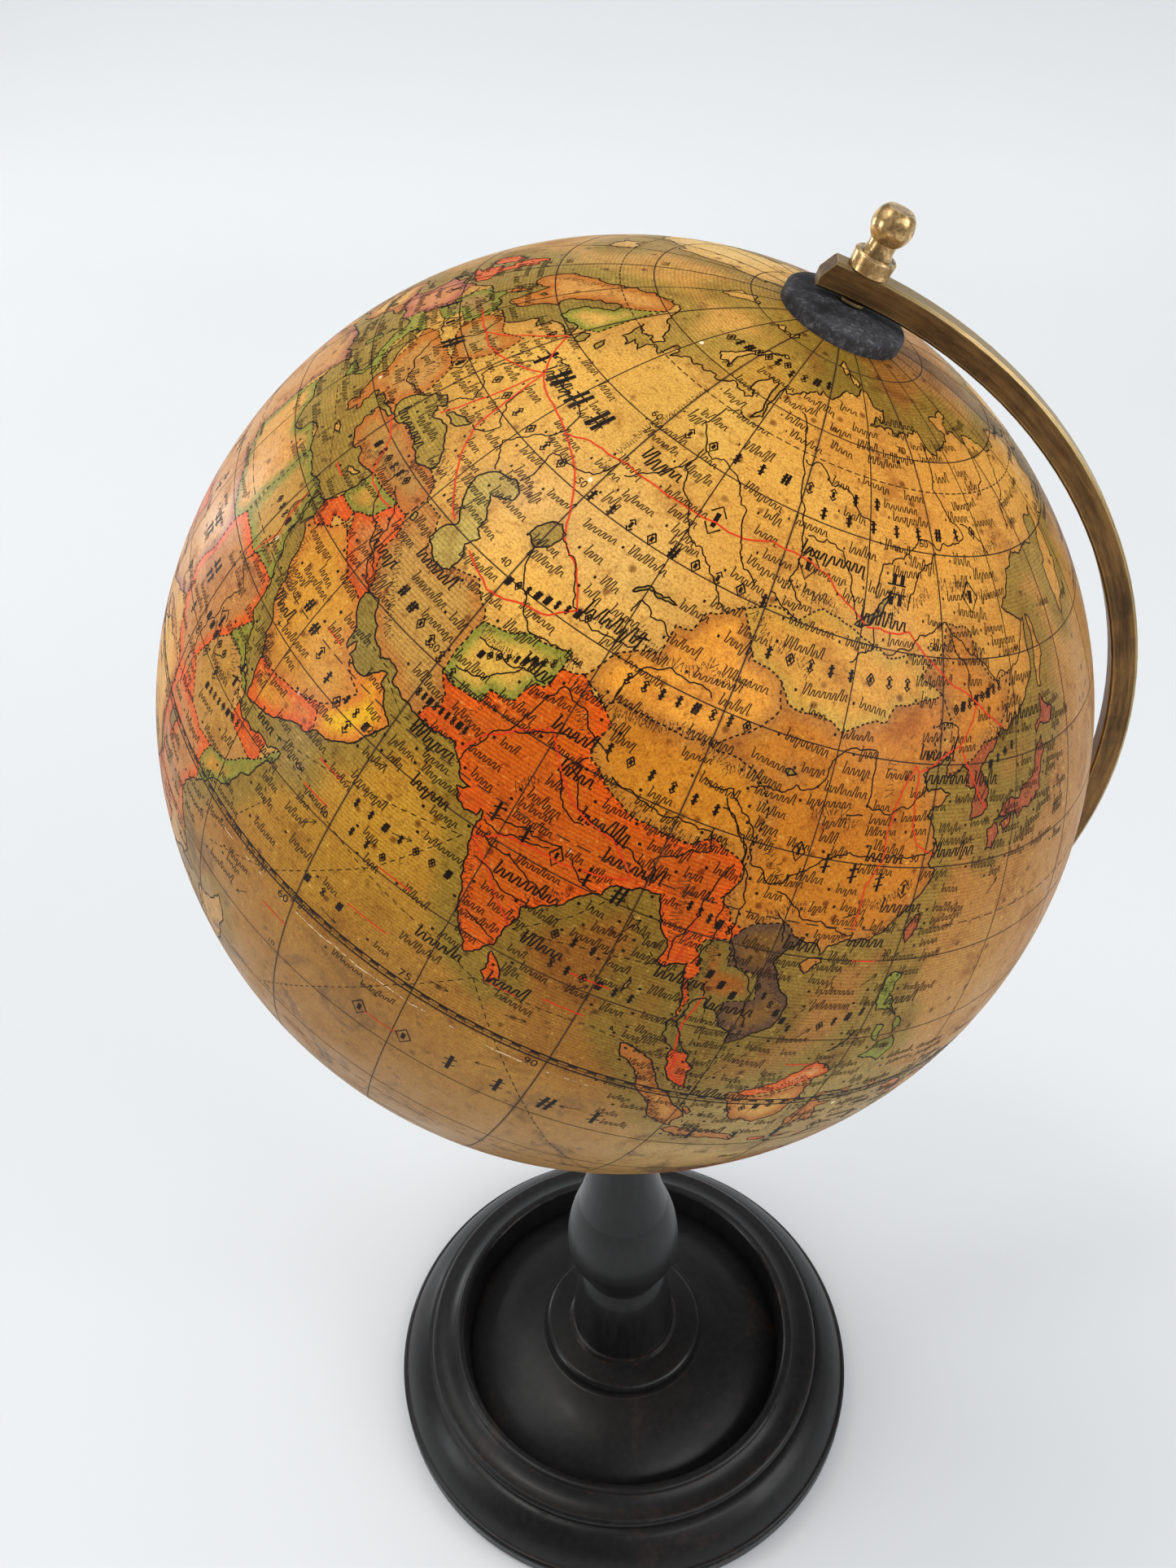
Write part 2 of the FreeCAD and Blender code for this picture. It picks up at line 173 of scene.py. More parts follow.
def ebonised_wood(name, wear_edge, polish):
    """Black-stained turned wood under worn polish: fine grain, lathe rings, brown rub-through."""
    p = Paint(name, linear(18, 18, 19), 0.4, coat=polish, coat_roughness=0.15, specular=0.28)
    grain = p.noise(60, 6, 0.6, p.stretched(9, 9, 1))
    pores = p.noise(900, 3, 0.7, p.stretched(2, 2, 0.25))
    rings = p.noise(700, 2, 0.5, p.stretched(0.02, 0.02, 1.6))
    patches = p.noise(38, 5, 0.65, warp=0.6)
    worn = p.step(patches, 0.58, 0.70)
    rub_and_sheen = p.math("MULTIPLY", worn, p.step(grain, 0.35, 0.65, 0.2, wear_edge + 0.35))
    dust = p.step(p.noise(240, 6, 0.75), 0.60, 0.78, 0.0, 0.16)
    edge = edge_wear(p, 0.5 * MM, 0.93)
    scratch = p.math("MULTIPLY", edge, p.step(p.noise(420, 5, 0.7), 0.46, 0.62))
    black = p.mix(p.step(grain, 0.3, 0.75), linear(16, 16, 17), linear(25, 24, 24))
    brown = p.mix(p.math("MULTIPLY", rub_and_sheen, 0.6), black, linear(46, 33, 26))
    bare = p.mix(p.math("MULTIPLY", scratch, 0.8), brown, linear(122, 76, 48))
    color = p.mix(dust, bare, linear(78, 76, 74))
    rough = p.step(patches, 0.25, 0.8, 0.38 - polish, 0.52 - polish)
    relief = p.bump(rings, 0.10, 0.05 * MM)
    relief = p.bump(pores, 0.08, 0.05 * MM, relief)
    return p.done(Base_Color=color, Roughness=rough, Normal=relief)


def edge_wear(p, radius, threshold):
    """1 where the surface turns sharply outwards within a radius, else 0."""
    smooth = p.node("ShaderNodeBevel", {"Radius": radius}, samples=4).outputs[0]
    plain = p.node("ShaderNodeNewGeometry").outputs["Normal"]
    along = p.node("ShaderNodeVectorMath", {0: smooth, 1: plain}, operation="DOT_PRODUCT").outputs["Value"]
    open_sky = p.node("ShaderNodeAmbientOcclusion", {"Distance": 4 * radius}, samples=4).outputs["AO"]
    return p.math("MULTIPLY", p.step(along, threshold, threshold + 0.06, 1.0, 0.0),
                  p.step(open_sky, 0.82, 0.95))


def cap_wood(name):
    """The polar caps' dull black: bare of polish, chalky scuffs and a few white chips."""
    p = Paint(name, linear(40, 40, 42), 0.6, specular=0.22)
    scuff = p.noise(900, 7, 0.8, p.stretched(1, 1.8, 1), 0.3)
    field = p.noise(120, 4, 0.6)
    chalk = p.math("MULTIPLY", p.step(scuff, 0.48, 0.66), p.step(field, 0.34, 0.58))
    base = p.mix(p.step(field, 0.3, 0.7), linear(29, 29, 31), linear(56, 55, 57))
    chalky = p.mix(p.math("MULTIPLY", chalk, 0.34), base, linear(146, 146, 150))
    spots = p.cells(230)
    chip = p.math("MULTIPLY", p.step(spots.outputs["Distance"], 0.10, 0.16, 1.0, 0.0),
                  p.step(p.node("ShaderNodeSeparateColor", {0: spots.outputs["Color"]}).outputs[0],
                         0.93, 0.94))
    color = p.mix(chip, chalky, linear(222, 214, 204))
    relief = p.bump(scuff, 0.5, 0.12 * MM)
    return p.done(Base_Color=color, Roughness=p.step(scuff, 0.3, 0.7, 0.5, 0.8), Normal=relief)


def arm_brass():
    """The half ring: brown patina with long fine streaks; outer face and edges lightened, partly worn brass
    and partly painted highlight.
    """
    p = Paint("aged_brass_arm", linear(110, 84, 56), 0.42, metallic=0.8, specular=0.5)
    local = p.node("ShaderNodeVectorMath", {0: p.where, 1: tuple(CENTRE)}, operation="SUBTRACT").outputs[0]
    radius = p.node("ShaderNodeVectorMath", {0: local}, operation="LENGTH").outputs["Value"]
    parts = p.node("ShaderNodeSeparateXYZ", {0: local}).outputs
    angle = p.math("ARCTAN2", parts[0], parts[2])
    along = p.node("ShaderNodeCombineXYZ", {
        0: radius, 1: parts[1],
        2: p.math("MULTIPLY", angle, 0.009)}).outputs[0]
    streaks = p.noise(5200, 4, 0.6, along)
    broad = p.noise(700, 5, 0.65, along)
    patches = p.noise(75, 5, 0.6, warp=0.5)
    red = p.step(p.noise(180, 4, 0.65), 0.55, 0.72)
    dark = p.mix(p.step(broad, 0.3, 0.7), linear(72, 50, 29), linear(138, 102, 58))
    dark = p.mix(p.math("MULTIPLY", red, 0.35), dark, linear(112, 64, 40))
    dark = p.mix(p.step(patches, 0.42, 0.68, 0.0, 0.55), dark, linear(58, 43, 29))
    dark = p.mix(p.step(streaks, 0.56, 0.7, 0.0, 0.45), dark, linear(168, 134, 84))
    edge = edge_wear(p, 0.5 * MM, 0.90)
    plain = p.node("ShaderNodeNewGeometry").outputs["Normal"]
    outward = p.node("ShaderNodeVectorMath", {0: plain, 1: p.node(
        "ShaderNodeVectorMath", {0: local}, operation="NORMALIZE").outputs[0]},
        operation="DOT_PRODUCT").outputs["Value"]
    # outer face lightened: partly worn brass, partly painted highlight
    face = p.step(outward, 0.5, 0.9)
    rub_and_sheen = p.mix(p.math("MULTIPLY", face, 0.75), dark, linear(198, 172, 122))
    # sharp edges lightened to pale gold: partly worn brass, partly painted highlight
    bright = p.mix(p.math("MULTIPLY", edge, p.step(patches, 0.25, 0.6, 0.95, 0.55)), rub_and_sheen,
                   linear(232, 205, 140))
    rough = p.step(streaks, 0.3, 0.7, 0.30, 0.48)
    relief = p.bump(streaks, 0.12, 0.03 * MM)
    return p.done(Base_Color=bright, Roughness=rough, Normal=relief)


def fitting_brass(name, shine=0.75):
    """Turned fittings: golden brass, painted shade in the hollows, painted highlights on the edges, tool
    rings, dents.
    """
    p = Paint(name, linear(190, 150, 96), 0.24, metallic=0.72)
    blotch = p.noise(330, 5, 0.65, warp=0.8)
    fine = p.noise(1500, 4, 0.7)
    tarnish = p.step(blotch, 0.36, 0.56)
    color = p.mix(p.math("MULTIPLY", tarnish, 1.0 - shine * 0.45), linear(246, 206, 140), linear(100, 70, 42))
    color = p.mix(p.step(fine, 0.52, 0.68, 0.0, 0.6), color, linear(48, 33, 22))
    # painted shade: where the occlusion node finds a hollow, the brass is darkened to deep brown
    hollow_shade = p.node("ShaderNodeAmbientOcclusion", {"Distance": 3 * MM}, samples=6).outputs["AO"]
    color = p.mix(p.step(hollow_shade, 0.45, 0.9, 0.85, 0.0), color, linear(44, 29, 18))
    # sharp outer edges lightened to pale gold: partly worn brass, partly painted highlight
    edge = edge_wear(p, 0.35 * MM, 0.93)
    color = p.mix(p.math("MULTIPLY", edge, 0.9), color, linear(250, 226, 170))
    turn = math.atan2(POLE[0], POLE[2])
    rings = p.noise(900, 2, 0.5, p.stretched(0.02, 0.02, 2.4, -turn))
    relief = p.bump(rings, 0.5, 0.08 * MM)
    relief = p.bump(blotch, 0.3, 0.12 * MM, relief)
    return p.done(Base_Color=color, Roughness=p.step(blotch, 0.3, 0.7, 0.18, 0.36), Normal=relief)


def steel():
    """Drawn steel with a brown bloom."""
    p = Paint("steel", linear(150, 148, 143), 0.35, metallic=1.0)
    bloom = p.noise(260, 5, 0.65)
    color = p.mix(p.step(bloom, 0.5, 0.7), linear(160, 158, 152), linear(104, 82, 62))
    relief = p.bump(p.noise(2500, 2), 0.2, 0.02 * MM)
    return p.done(Base_Color=color, Roughness=p.step(bloom, 0.3, 0.7, 0.28, 0.5), Normal=relief)


def baize():
    """Green wool cloth, felted."""
    p = Paint("baize", linear(38, 84, 52), 0.95, sheen=0.5, specular=0.2)
    nap = p.noise(2600, 4, 0.8)
    worn = p.noise(45, 4, 0.6)
    color = p.mix(p.step(nap, 0.3, 0.7), linear(26, 66, 40), linear(58, 106, 68))
    color = p.mix(p.step(worn, 0.5, 0.72, 0.0, 0.4), color, linear(96, 98, 72))
    return p.done(Base_Color=color, Normal=p.bump(nap, 0.7, 0.3 * MM))


def plaster():
    """Shell of papier-mache and whiting."""
    p = Paint("plaster_shell", linear(214, 203, 180), 0.9, specular=0.2)
    pulp = p.noise(350, 6, 0.7)
    color = p.mix(p.step(pulp, 0.35, 0.65), linear(198, 184, 156), linear(226, 217, 196))
    return p.done(Base_Color=color, Normal=p.bump(pulp, 0.5, 0.3 * MM))


def lap_paper():
    """Brown paper strip."""
    p = Paint("lap_paper", linear(182, 156, 116), 0.85, specular=0.2)
    fibre = p.noise(900, 5, 0.75, p.stretched(1, 1, 3))
    color = p.mix(p.step(fibre, 0.3, 0.7), linear(160, 132, 94), linear(196, 172, 132))
    return p.done(Base_Color=color, Normal=p.bump(fibre, 0.4, 0.1 * MM))


def pine():
    """Plain softwood of the pillar, grain along the polar axis."""
    p = Paint("plain_wood", linear(190, 148, 98), 0.7)
    turn = math.atan2(POLE[0], POLE[2])
    grain = p.noise(220, 5, 0.6, p.stretched(1, 1, 0.06, -turn), 0.4)
    color = p.mix(p.step(grain, 0.35, 0.65), linear(200, 160, 108), linear(156, 112, 66))
    return p.done(Base_Color=color, Normal=p.bump(grain, 0.25, 0.1 * MM))


def printed_paper():
    """Varnished map: tints and hatching printed, then age, stains, chips and creases."""
    p = Paint("printed_paper", linear(190, 150, 90), 0.40, coat=0.07, coat_roughness=0.2, specular=0.10)
    tint = p.attribute("tint")
    trim = p.attribute("trim")
    shore = p.attribute("shore")["Fac"]
    spot = p.node("ShaderNodeSeparateXYZ", {0: p.attribute("spot")["Vector"]}).outputs
    longitude, latitude, seam = spot[0], spot[1], spot[2]
    patch = p.noise(26, 4, 0.6, warp=0.4)
    mottle = p.noise(95, 6, 0.68, warp=0.3)
    fleck = p.noise(760, 5, 0.75)
    grain = p.noise(2600, 3, 0.7)

    reach = p.math("ADD", shore, p.math("MULTIPLY_ADD", mottle, 1.6, -0.8))
    sea_band = p.mix(p.step(reach, 1.4, 3.8, 0.9, 0.0), tint["Color"], trim["Color"])
    land_band = p.mix(p.step(reach, 0.15, 1.7, 0.95, 0.0), tint["Color"], trim["Color"])
    printed = p.mix(trim["Alpha"], land_band, sea_band)

    wave = p.math("SINE", p.math("MULTIPLY", latitude, 2 * math.pi / 0.40))
    hatch = p.math("MULTIPLY", p.step(wave, -0.1, 0.7), p.math("MULTIPLY", tint["Alpha"], 0.42))
    inked = p.mix(hatch, printed, p.mix(1.0, printed, linear(196, 138, 104), "MULTIPLY"))

    aged = p.mix(p.step(patch, 0.35, 0.68, 0.0, 0.35), inked,
                 p.mix(1.0, inked, linear(222, 184, 128), "MULTIPLY"))
    stain = p.step(mottle, 0.50, 0.72, 0.0, 0.55)
    aged = p.mix(stain, aged, p.mix(1.0, aged, linear(184, 138, 90), "MULTIPLY"))
    aged = p.mix(p.step(fleck, 0.54, 0.72, 0.0, 0.75), aged,
                 p.mix(1.0, aged, linear(128, 88, 56), "MULTIPLY"))
    aged = p.mix(p.step(fleck, 0.44, 0.26, 0.0, 0.38), aged, linear(246, 204, 112))
    aged = p.mix(p.step(grain, 0.42, 0.66, 0.0, 0.55), aged,
                 p.mix(1.0, aged, linear(176, 136, 96), "MULTIPLY"))

    foxing = p.cells(330)
    chosen = p.node("ShaderNodeSeparateColor", {0: foxing.outputs["Color"]}).outputs[1]
    fox = p.math("MULTIPLY", p.step(foxing.outputs["Distance"], 0.10, 0.30, 0.75, 0.0),
                 p.step(chosen, 0.70, 0.76))
    aged = p.mix(fox, aged, p.mix(1.0, aged, linear(130, 84, 50), "MULTIPLY"))
    aged = p.mix(1.0, aged, VARNISH, "MULTIPLY")
    # darker and browner towards the south, the bottom of the ball
    south = p.step(p.math("ADD", latitude, p.math("MULTIPLY", mottle, 5)), 4, -8, 0.0, 0.38)
    aged = p.mix(south, aged, linear(152, 114, 62))
    # a second, blotchy darkening south of latitude 6, towards the bottom of the ball
    southern_dark = p.math("MULTIPLY", p.step(latitude, 6, -14), p.step(p.noise(60, 6, 0.7, warp=1.2), 0.52, 0.66))
    aged = p.mix(p.math("MULTIPLY", southern_dark, 0.65), aged, linear(74, 52, 34))

    seam_dirt = p.step(p.math("ADD", seam, p.math("MULTIPLY_ADD", fleck, 0.5, -0.25)), 0.05, 0.45, 0.42, 0.0)
    aged = p.mix(seam_dirt, aged, linear(78, 52, 30))

    crack = p.math("ABSOLUTE", p.math("ADD", latitude, p.math(
        "MULTIPLY_ADD", p.noise(40, 4, 0.7), 1.6, 0.95)))
    span = p.math("MULTIPLY", p.step(longitude, 44, 52), p.step(longitude, 101, 92))
    chipped = p.math("MULTIPLY", p.step(crack, 0.03, 0.13, 1.0, 0.0),
                     p.math("MULTIPLY", span, p.step(p.noise(190, 6, 0.85), 0.50, 0.56, 0.0, 0.75)))
    spots = p.cells(125)
    pick = p.node("ShaderNodeSeparateColor", {0: spots.outputs["Color"]}).outputs[0]
    lost = p.math("MULTIPLY", p.step(spots.outputs["Distance"], 0.045, 0.075, 1.0, 0.0),
                  p.step(pick, 0.90, 0.905))
    bare = p.math("MAXIMUM", chipped, lost)
    color = p.mix(bare, aged, linear(226, 208, 170))

    creases = p.noise(210, 4, 0.6, p.stretched(2.4, 2.4, 0.5, -math.atan2(POLE[0], POLE[2])), 0.3)
    craze = p.cells(420, "DISTANCE_TO_EDGE").outputs["Distance"]
    relief = p.bump(creases, 0.24, 0.30 * MM)
    relief = p.bump(p.step(craze, 0.0, 0.06), 0.10, 0.04 * MM, relief)
    relief = p.bump(fleck, 0.16, 0.06 * MM, relief)
    relief = p.bump(p.math("SUBTRACT", 1.0, bare), 0.5, 0.15 * MM, relief)
    rough = p.math("ADD", p.step(mottle, 0.3, 0.7, 0.32, 0.50), p.math("MULTIPLY", bare, 0.35))
    return p.done(Base_Color=color, Roughness=rough, Normal=relief)


def ink(name, color, faded, roughness=0.5):
    """Printing ink that has sunk into the paper and faded in places."""
    p = Paint(name, color, roughness, coat=0.05, coat_roughness=0.25, specular=0.10)
    fade = p.noise(260, 6, 0.75)
    return p.done(Base_Color=p.mix(p.step(fade, 0.52, 0.74, 0.0, 0.6), color, faded))


# ---- the map, longitude and latitude in degrees ----
def path(text):
    """List of (longitude, latitude) from "lon lat, lon lat, ..." text."""
    return [tuple(float(number) for number in pair.split()) for pair in text.split(",")]


LAND = [path(text) for text in (
    # Europe and Asia
    "32.5 30, 32.6 31.1, 34.2 31.3, 34.8 32.1, 35.1 33.1, 35.7 34.3, 35.8 35.6, 36.1 36.7,"
    "35.4 36.6, 34 36.2, 32.6 36.1, 30.7 36.8, 30.5 36.3, 29.2 36.3, 28.2 36.7, 27.3 36.9,"
    "27.2 37.8, 26.4 38.3, 26.9 39.1, 26.1 39.5, 26.2 40, 27.5 40.4, 29 40.5, 29.2 41,"
    "27.5 41, 26.1 40.6, 25 40.9, 24 40.8, 24.2 40, 23 40.5, 22.6 39.9, 23.3 39.2,"
    "23 38.8, 24 38.2, 24 37.7, 23.2 37.9, 23.2 37.3, 22.9 36.6, 22.2 36.9, 21.7 36.8,"
    "21.3 37.7, 21.9 38.3, 21.1 38.4, 20.7 39, 20 39.8, 19.4 40.5, 19.5 41.7, 18.5 42.4,"
    "17 43, 15.8 43.7, 15 44.6, 14.8 45.2, 14 44.9, 13.6 45.6, 12.4 45.4, 12.4 44.3,"
    "13.6 43.6, 14.2 42.5, 15.6 41.9, 16.1 41.8, 15.9 41.5, 17 41, 18.4 40.2, 18.3 39.8,"
    "17 40.5, 16.6 39.7, 17.1 39, 16.5 38.4, 15.9 37.9, 15.7 38.3, 16.2 38.9, 15.7 40,"
    "14.9 40.3, 14.3 40.8, 13 41.2, 11.8 42.1, 10.5 42.9, 10.2 43.9, 8.8 44.4, 7.5 43.8,"
    "6.2 43.1, 4.5 43.4, 3.1 43.1, 3.2 42, 0.9 41, -0.3 39.5, 0.1 38.8, -0.7 37.8,"
    "-2.1 36.8, -4.4 36.7, -5.6 36, -6.4 36.7, -7.4 37.2, -8.9 37, -8.8 38.3, -9.4 38.8,"
    "-8.8 40.5, -8.8 41.9, -9.2 43.1, -7.9 43.7, -4 43.4, -1.8 43.4, -1.2 44.6, -1.1 46,"
    "-2.2 47.1, -4.5 47.9, -4.7 48.5, -1.6 48.7, -1.8 49.7, 0.2 49.5, 1.6 50.7, 3.4 51.4,"
    "4.4 52.3, 5.3 53.2, 7 53.5, 8.5 53.8, 8.6 55.3, 8.1 56.6, 10.3 57.6, 10.3 56.5,"
    "9.6 55.3, 10.9 54.3, 12.5 54.4, 14.2 53.9, 16.5 54.5, 18.6 54.6, 19.8 54.4, 21.1 55.6,"
    "21.4 57.3, 22.6 57.7, 24.2 57.1, 23.6 58.9, 25.5 59.5, 28 59.6, 30.1 59.9, 28.6 60.6,"
    "25 60.2, 22.6 59.9, 21.4 60.9, 21.4 62.5, 23.2 63.9, 25.3 65, 24.2 65.8, 22.2 65.6,"
    "21.3 64.5, 18.9 63.2, 17.3 61.7, 17.3 60.7, 18.9 59.9, 17 58.6, 16.6 57, 15.9 56.1,"
    "14.2 55.4, 12.9 55.5, 12.7 56.6, 11.2 58.9, 10.6 59.5, 8.8 58.3, 7 58, 5.5 58.8,"
    "5.1 60.5, 5.2 62, 8.2 63.6, 10.8 64.8, 13 66.3, 15.5 68.2, 18.5 69.7, 21.5 70.3,"
    "25.6 71.1, 31 70.3, 33.5 69.3, 36.5 69, 41 67.6, 40.2 66.4, 35 66.4, 32.6 67,"
    "34.8 65, 34.8 64.3, 37.8 63.9, 37 65.2, 39.8 64.8, 40.5 64.6, 39.9 65.8, 42.2 66.4,"
    "44.1 66, 43.8 68.4, 46 68, 45.9 66.8, 47 67.5, 53 68.7, 54.6 68.3, 60.5 68.9,"
    "64.8 69.2, 67.5 68.8, 69 69.3, 66.8 70.3, 67 71.5, 69.5 73, 72.5 72.8, 72.3 71.2,"
    "73.5 68.6, 72 67, 74.5 67.8, 73.6 69.5, 74.3 72, 74.8 72.8, 78 72.4, 80.6 73.6,"
    "86.5 74.3, 87 75.1, 98 76.4, 104.2 77.7, 108 76.6, 113.5 75.7, 112.5 74.1, 106 73,"
    "110 73.4, 113.5 73.4, 118.5 73.1, 123.5 73.2, 127 73.6, 129 71, 133 71.5,"
    "139.5 72.3, 140.5 72.8, 150 71.5, 159 70.9, 161 69.5, 170 70.1, 180 69,"
    "185.5 67.2, 190.3 66.1, 187 64.5, 181 65.5, 179.5 64.8, 177.5 64.6, 179.5 62.6,"
    "174 61.8, 170.3 60, 166 60.2, 163.5 59.9, 163.2 58.2, 162 56.5, 163.2 56.2,"
    "160 53.1, 156.7 51, 155.6 54, 155.7 56.8, 159.5 59.5, 161.8 60.4, 163.8 62.4,"
    "160.2 61.8, 156.7 61.5, 154.4 59.5, 149 59.5, 143 59.3, 138 56, 135.5 54.8,"
    "137.8 53.9, 141.2 53.2, 140.4 51, 140.5 48.5, 138.5 46.5, 135.5 44, 133 42.8,"
    "131.8 43.2, 130.7 42.3, 129.7 41, 127.6 39.8, 127.5 39.2, 129.3 37.4, 129.4 35.6,"
    "127.5 34.7, 126.4 34.5, 126.5 36.5, 126.8 37.6, 125 37.9, 125.3 39.5, 124.2 39.9,"
    "121.5 38.9, 121.9 40.7, 119.8 39.9, 117.7 39, 118.9 37.4, 120.8 37.8, 122.5 37.2,"
    "120.3 36, 119.3 35, 120.8 33, 121.9 31.7, 120.8 30.4, 122 29.8, 121.6 28.3,"
    "119.8 26, 118 24.4, 116.5 23, 114.2 22.3, 113.5 22.2, 111 21.5, 110.4 20.3,"
    "109.7 21.5, 108 21.6, 106.7 20.7, 105.7 19, 107.1 17.1, 108.9 15.3, 109.3 13,"
    "109 11.6, 107.2 10.4, 106.6 9.6, 105 8.6, 104.8 10.2, 103.5 10.6, 102.6 12.2,"
    "100.9 12.7, 100.9 13.5, 100 13.3, 99.4 11.5, 99.2 10, 100.3 8.5, 101.3 6.9,"
    "102.2 6.2, 103.4 4.5, 103.5 2.6, 104.2 1.4, 103.4 1.5, 101.4 2.9, 100.4 5, 100.3 6.4,"
    "98.6 8, 98.3 9.5, 98.7 12, 97.8 14.8, 97.3 16.8, 95.4 15.8, 94.3 16, 94.4 18.5,"
    "92.3 21.3, 91.8 22.5, 90.5 22.4, 89 21.8, 87 21.4, 86.6 20.2, 85.2 19.5, 82.3 16.8,"
    "80.3 15.5, 80.2 13.2, 79.8 10.4, 78.9 9.3, 77.6 8.1, 76.4 9.8, 74.9 12.6, 73.8 15.8,"
    "72.9 18.8, 72.8 21, 72.3 21.8, 72.2 21, 70.9 20.8, 69 22.3, 70.3 22.9, 68.6 23.3,"
    "67.2 24.7, 66.6 25.4, 64.5 25.2, 61.6 25.1, 59 25.4, 57.3 25.8, 57 26.9, 56.4 27.1,"
    "54.5 26.6, 52.6 27.5, 50.8 29, 50 30.2, 48.8 30.2, 48 29.7, 48.1 28.9, 48.8 27.8,"
    "50.1 26.6, 50.2 25.6, 50.8 24.8, 51.2 26.1, 51.6 25.4, 51.4 24.6, 52.6 24.2, 54.3 24.2,"
    "56.2 26.1, 56.4 24.9, 57.9 23.7, 59.8 22.5, 58.6 20.4, 57.8 18.9, 56.4 17.9, 55.2 17.1,"
    "52.2 15.6, 49 14.4, 45.1 12.9, 43.5 12.7, 42.8 15, 42.6 16.8, 41 18.7, 39.1 21.4,"
    "38.5 23.8, 37.2 25.2, 35.6 27.9, 34.6 28.2, 34.9 29.5, 34.2 27.8, 33.2 28.6",
    # Africa
    "32.5 30, 32.4 29.8, 33.6 27.8, 35.5 24, 37.2 21, 37.4 18.7, 38.6 18, 39.5 15.6,"
    "41.2 14.6, 43.1 12.7, 43.2 11.5, 44.5 10.4, 47.5 11.2, 51.2 11.8, 51 10.4, 49 6.8,"
    "46 2.5, 42.5 -0.5, 41.6 -1.7, 40 -3.3, 38.9 -5.5, 39.6 -7.5, 40.6 -10.7, 40.7 -14.8,"
    "36.9 -17.9, 34.8 -19.9, 35.5 -22.5, 35.4 -24.1, 32.8 -25.9, 32.6 -28.4, 30.9 -30.3,"
    "28 -32.9, 25.7 -34, 22.2 -34.1, 20 -34.8, 18.4 -34, 18.2 -31.8, 16.5 -28.7,"
    "14.9 -25.5, 14.4 -22.6, 12 -17.5, 12.5 -13.9, 13.7 -11, 13.2 -8.6, 12.3 -6,"
    "11.1 -4, 8.8 -0.8, 9.5 1, 9.8 3.2, 8.7 4.6, 7 4.4, 5.4 5.2, 4.4 6.4, 1.2 6,"
    "-2 4.8, -4.5 5.2, -7.6 4.4, -11.4 6.8, -13.2 8.8, -15 11, -16.8 13.2, -17.4 14.7,"
    "-16.3 16.5, -16.2 19, -17 21, -15.8 23.9, -14 26.2, -11.5 28.3, -9.8 29.8,"
    "-9.7 31.5, -7.5 33.6, -5.9 35.8, -4.5 35.2, -2 35.1, 1 36.4, 5 36.8, 9.8 37.3,"
    "11 37, 10.3 34.3, 11.2 33.2, 15.2 32.3, 15.7 31.4, 19 30.3, 20 31, 20.1 32.3,"
    "22.2 32.9, 25 31.6, 29 30.9, 30.9 31.5, 32.3 31.2",
    # North America
    "-168 65.6, -166 64.5, -161 64.5, -161 63.5, -165 62.5, -166 60.5, -162 59.5, -158 58.7,"
    "-157.5 57.5, -163 55, -158 56, -153.5 59, -151 61, -149 60, -144 60, -139.5 59.5, -135 58,"
    "-131 55.5, -128 51.5, -124.5 48.4, -124 44, -124.4 40.4, -122 37, -120.6 34.6, -117.2 32.5,"
    "-114.2 28.5, -110 23, -111.5 26, -114.8 31.5, -112 29, -109.3 26, -105.6 22.5, -105.5 20.3,"
    "-101.5 17.6, -95 16, -92 14.5, -88 13, -85.8 11, -83.5 8.5, -80 7.3, -79 9, -77.5 8.5,"
    "-79.5 9.6, -82 9, -83.5 11, -83.2 15, -88 15.8, -88.5 18, -87 21.5, -90.3 21, -91 18.7,"
    "-94.5 18.2, -97.3 21, -97.5 25, -95 29, -90 29.2, -85 29.8, -82.8 28, -81.2 25.2, -80.2 27,"
    "-81.3 31, -77.5 34, -75.6 35.5, -76.2 37.2, -74 40.5, -70 41.8, -70.5 43.2, -67 44.7,"
    "-64 44.5, -61 45.5, -64.5 46.5, -64.3 49, -68 49, -66 50.3, -60 50.2, -55.7 52.2,"
    "-57.5 54.5, -61.5 57, -64.5 60.3, -69.5 58.8, -70 61, -77.5 62.4, -77.5 60, -76.6 57,"
    "-79 54.7, -79 52, -82 53, -82.3 55.2, -88 56.6, -92.5 57, -94.6 58.8, -94.6 60.5, -90 63.5,"
    "-87.5 64.5, -86 66.5, -82 67, -82 69, -85 69.7, -90.5 68.5, -94 71.8, -96 68.5, -108 68,"
    "-115 68, -125 69.8, -128 70.2, -135 69.3, -141 69.6, -150 70.5, -156.5 71.3, -162 70,"
    "-166 68.3, -164 66.5",
    # South America
    "-77.4 8.7, -75.5 10.7, -71.7 12.4, -71 11, -68 11.5, -62 10.7, -60 8.5, -57 6, -51.5 4.3,"
    "-50 1, -48.5 -1, -44.3 -2.6, -40 -2.9, -35.3 -5.3, -34.9 -8.5, -37.5 -11.5, -39 -14,"
    "-39.3 -17.8, -41 -22, -44.5 -23, -48.5 -25.8, -48.7 -28.5, -52 -32.8, -54.9 -34.9,"
    "-58.3 -34, -57 -36.5, -62 -39, -65 -41, -63.8 -42.7, -67.5 -46.2, -65.9 -48, -69 -50.5,"
    "-68.4 -52.5, -65.3 -54.8, -69 -55.3, -73.5 -52.5, -75.5 -48.5, -74 -43.5, -73.6 -39,"
    "-71.5 -33, -70.2 -22, -70.4 -18.4, -76 -14, -79.5 -7.5, -81.2 -5, -80 -2.6, -80.8 -1,"
    "-79 1.6, -77.3 4, -77.8 7",
    # Australia and Tasmania
    "142.5 -10.8, 143.8 -14.4, 145.4 -15, 146.3 -18.9, 149 -20.5, 150.8 -23.4, 153.2 -26,"
    "153.5 -29, 151.3 -33.5, 150 -37, 146.3 -39, 143.5 -38.8, 140.5 -38, 138.5 -35.6,"
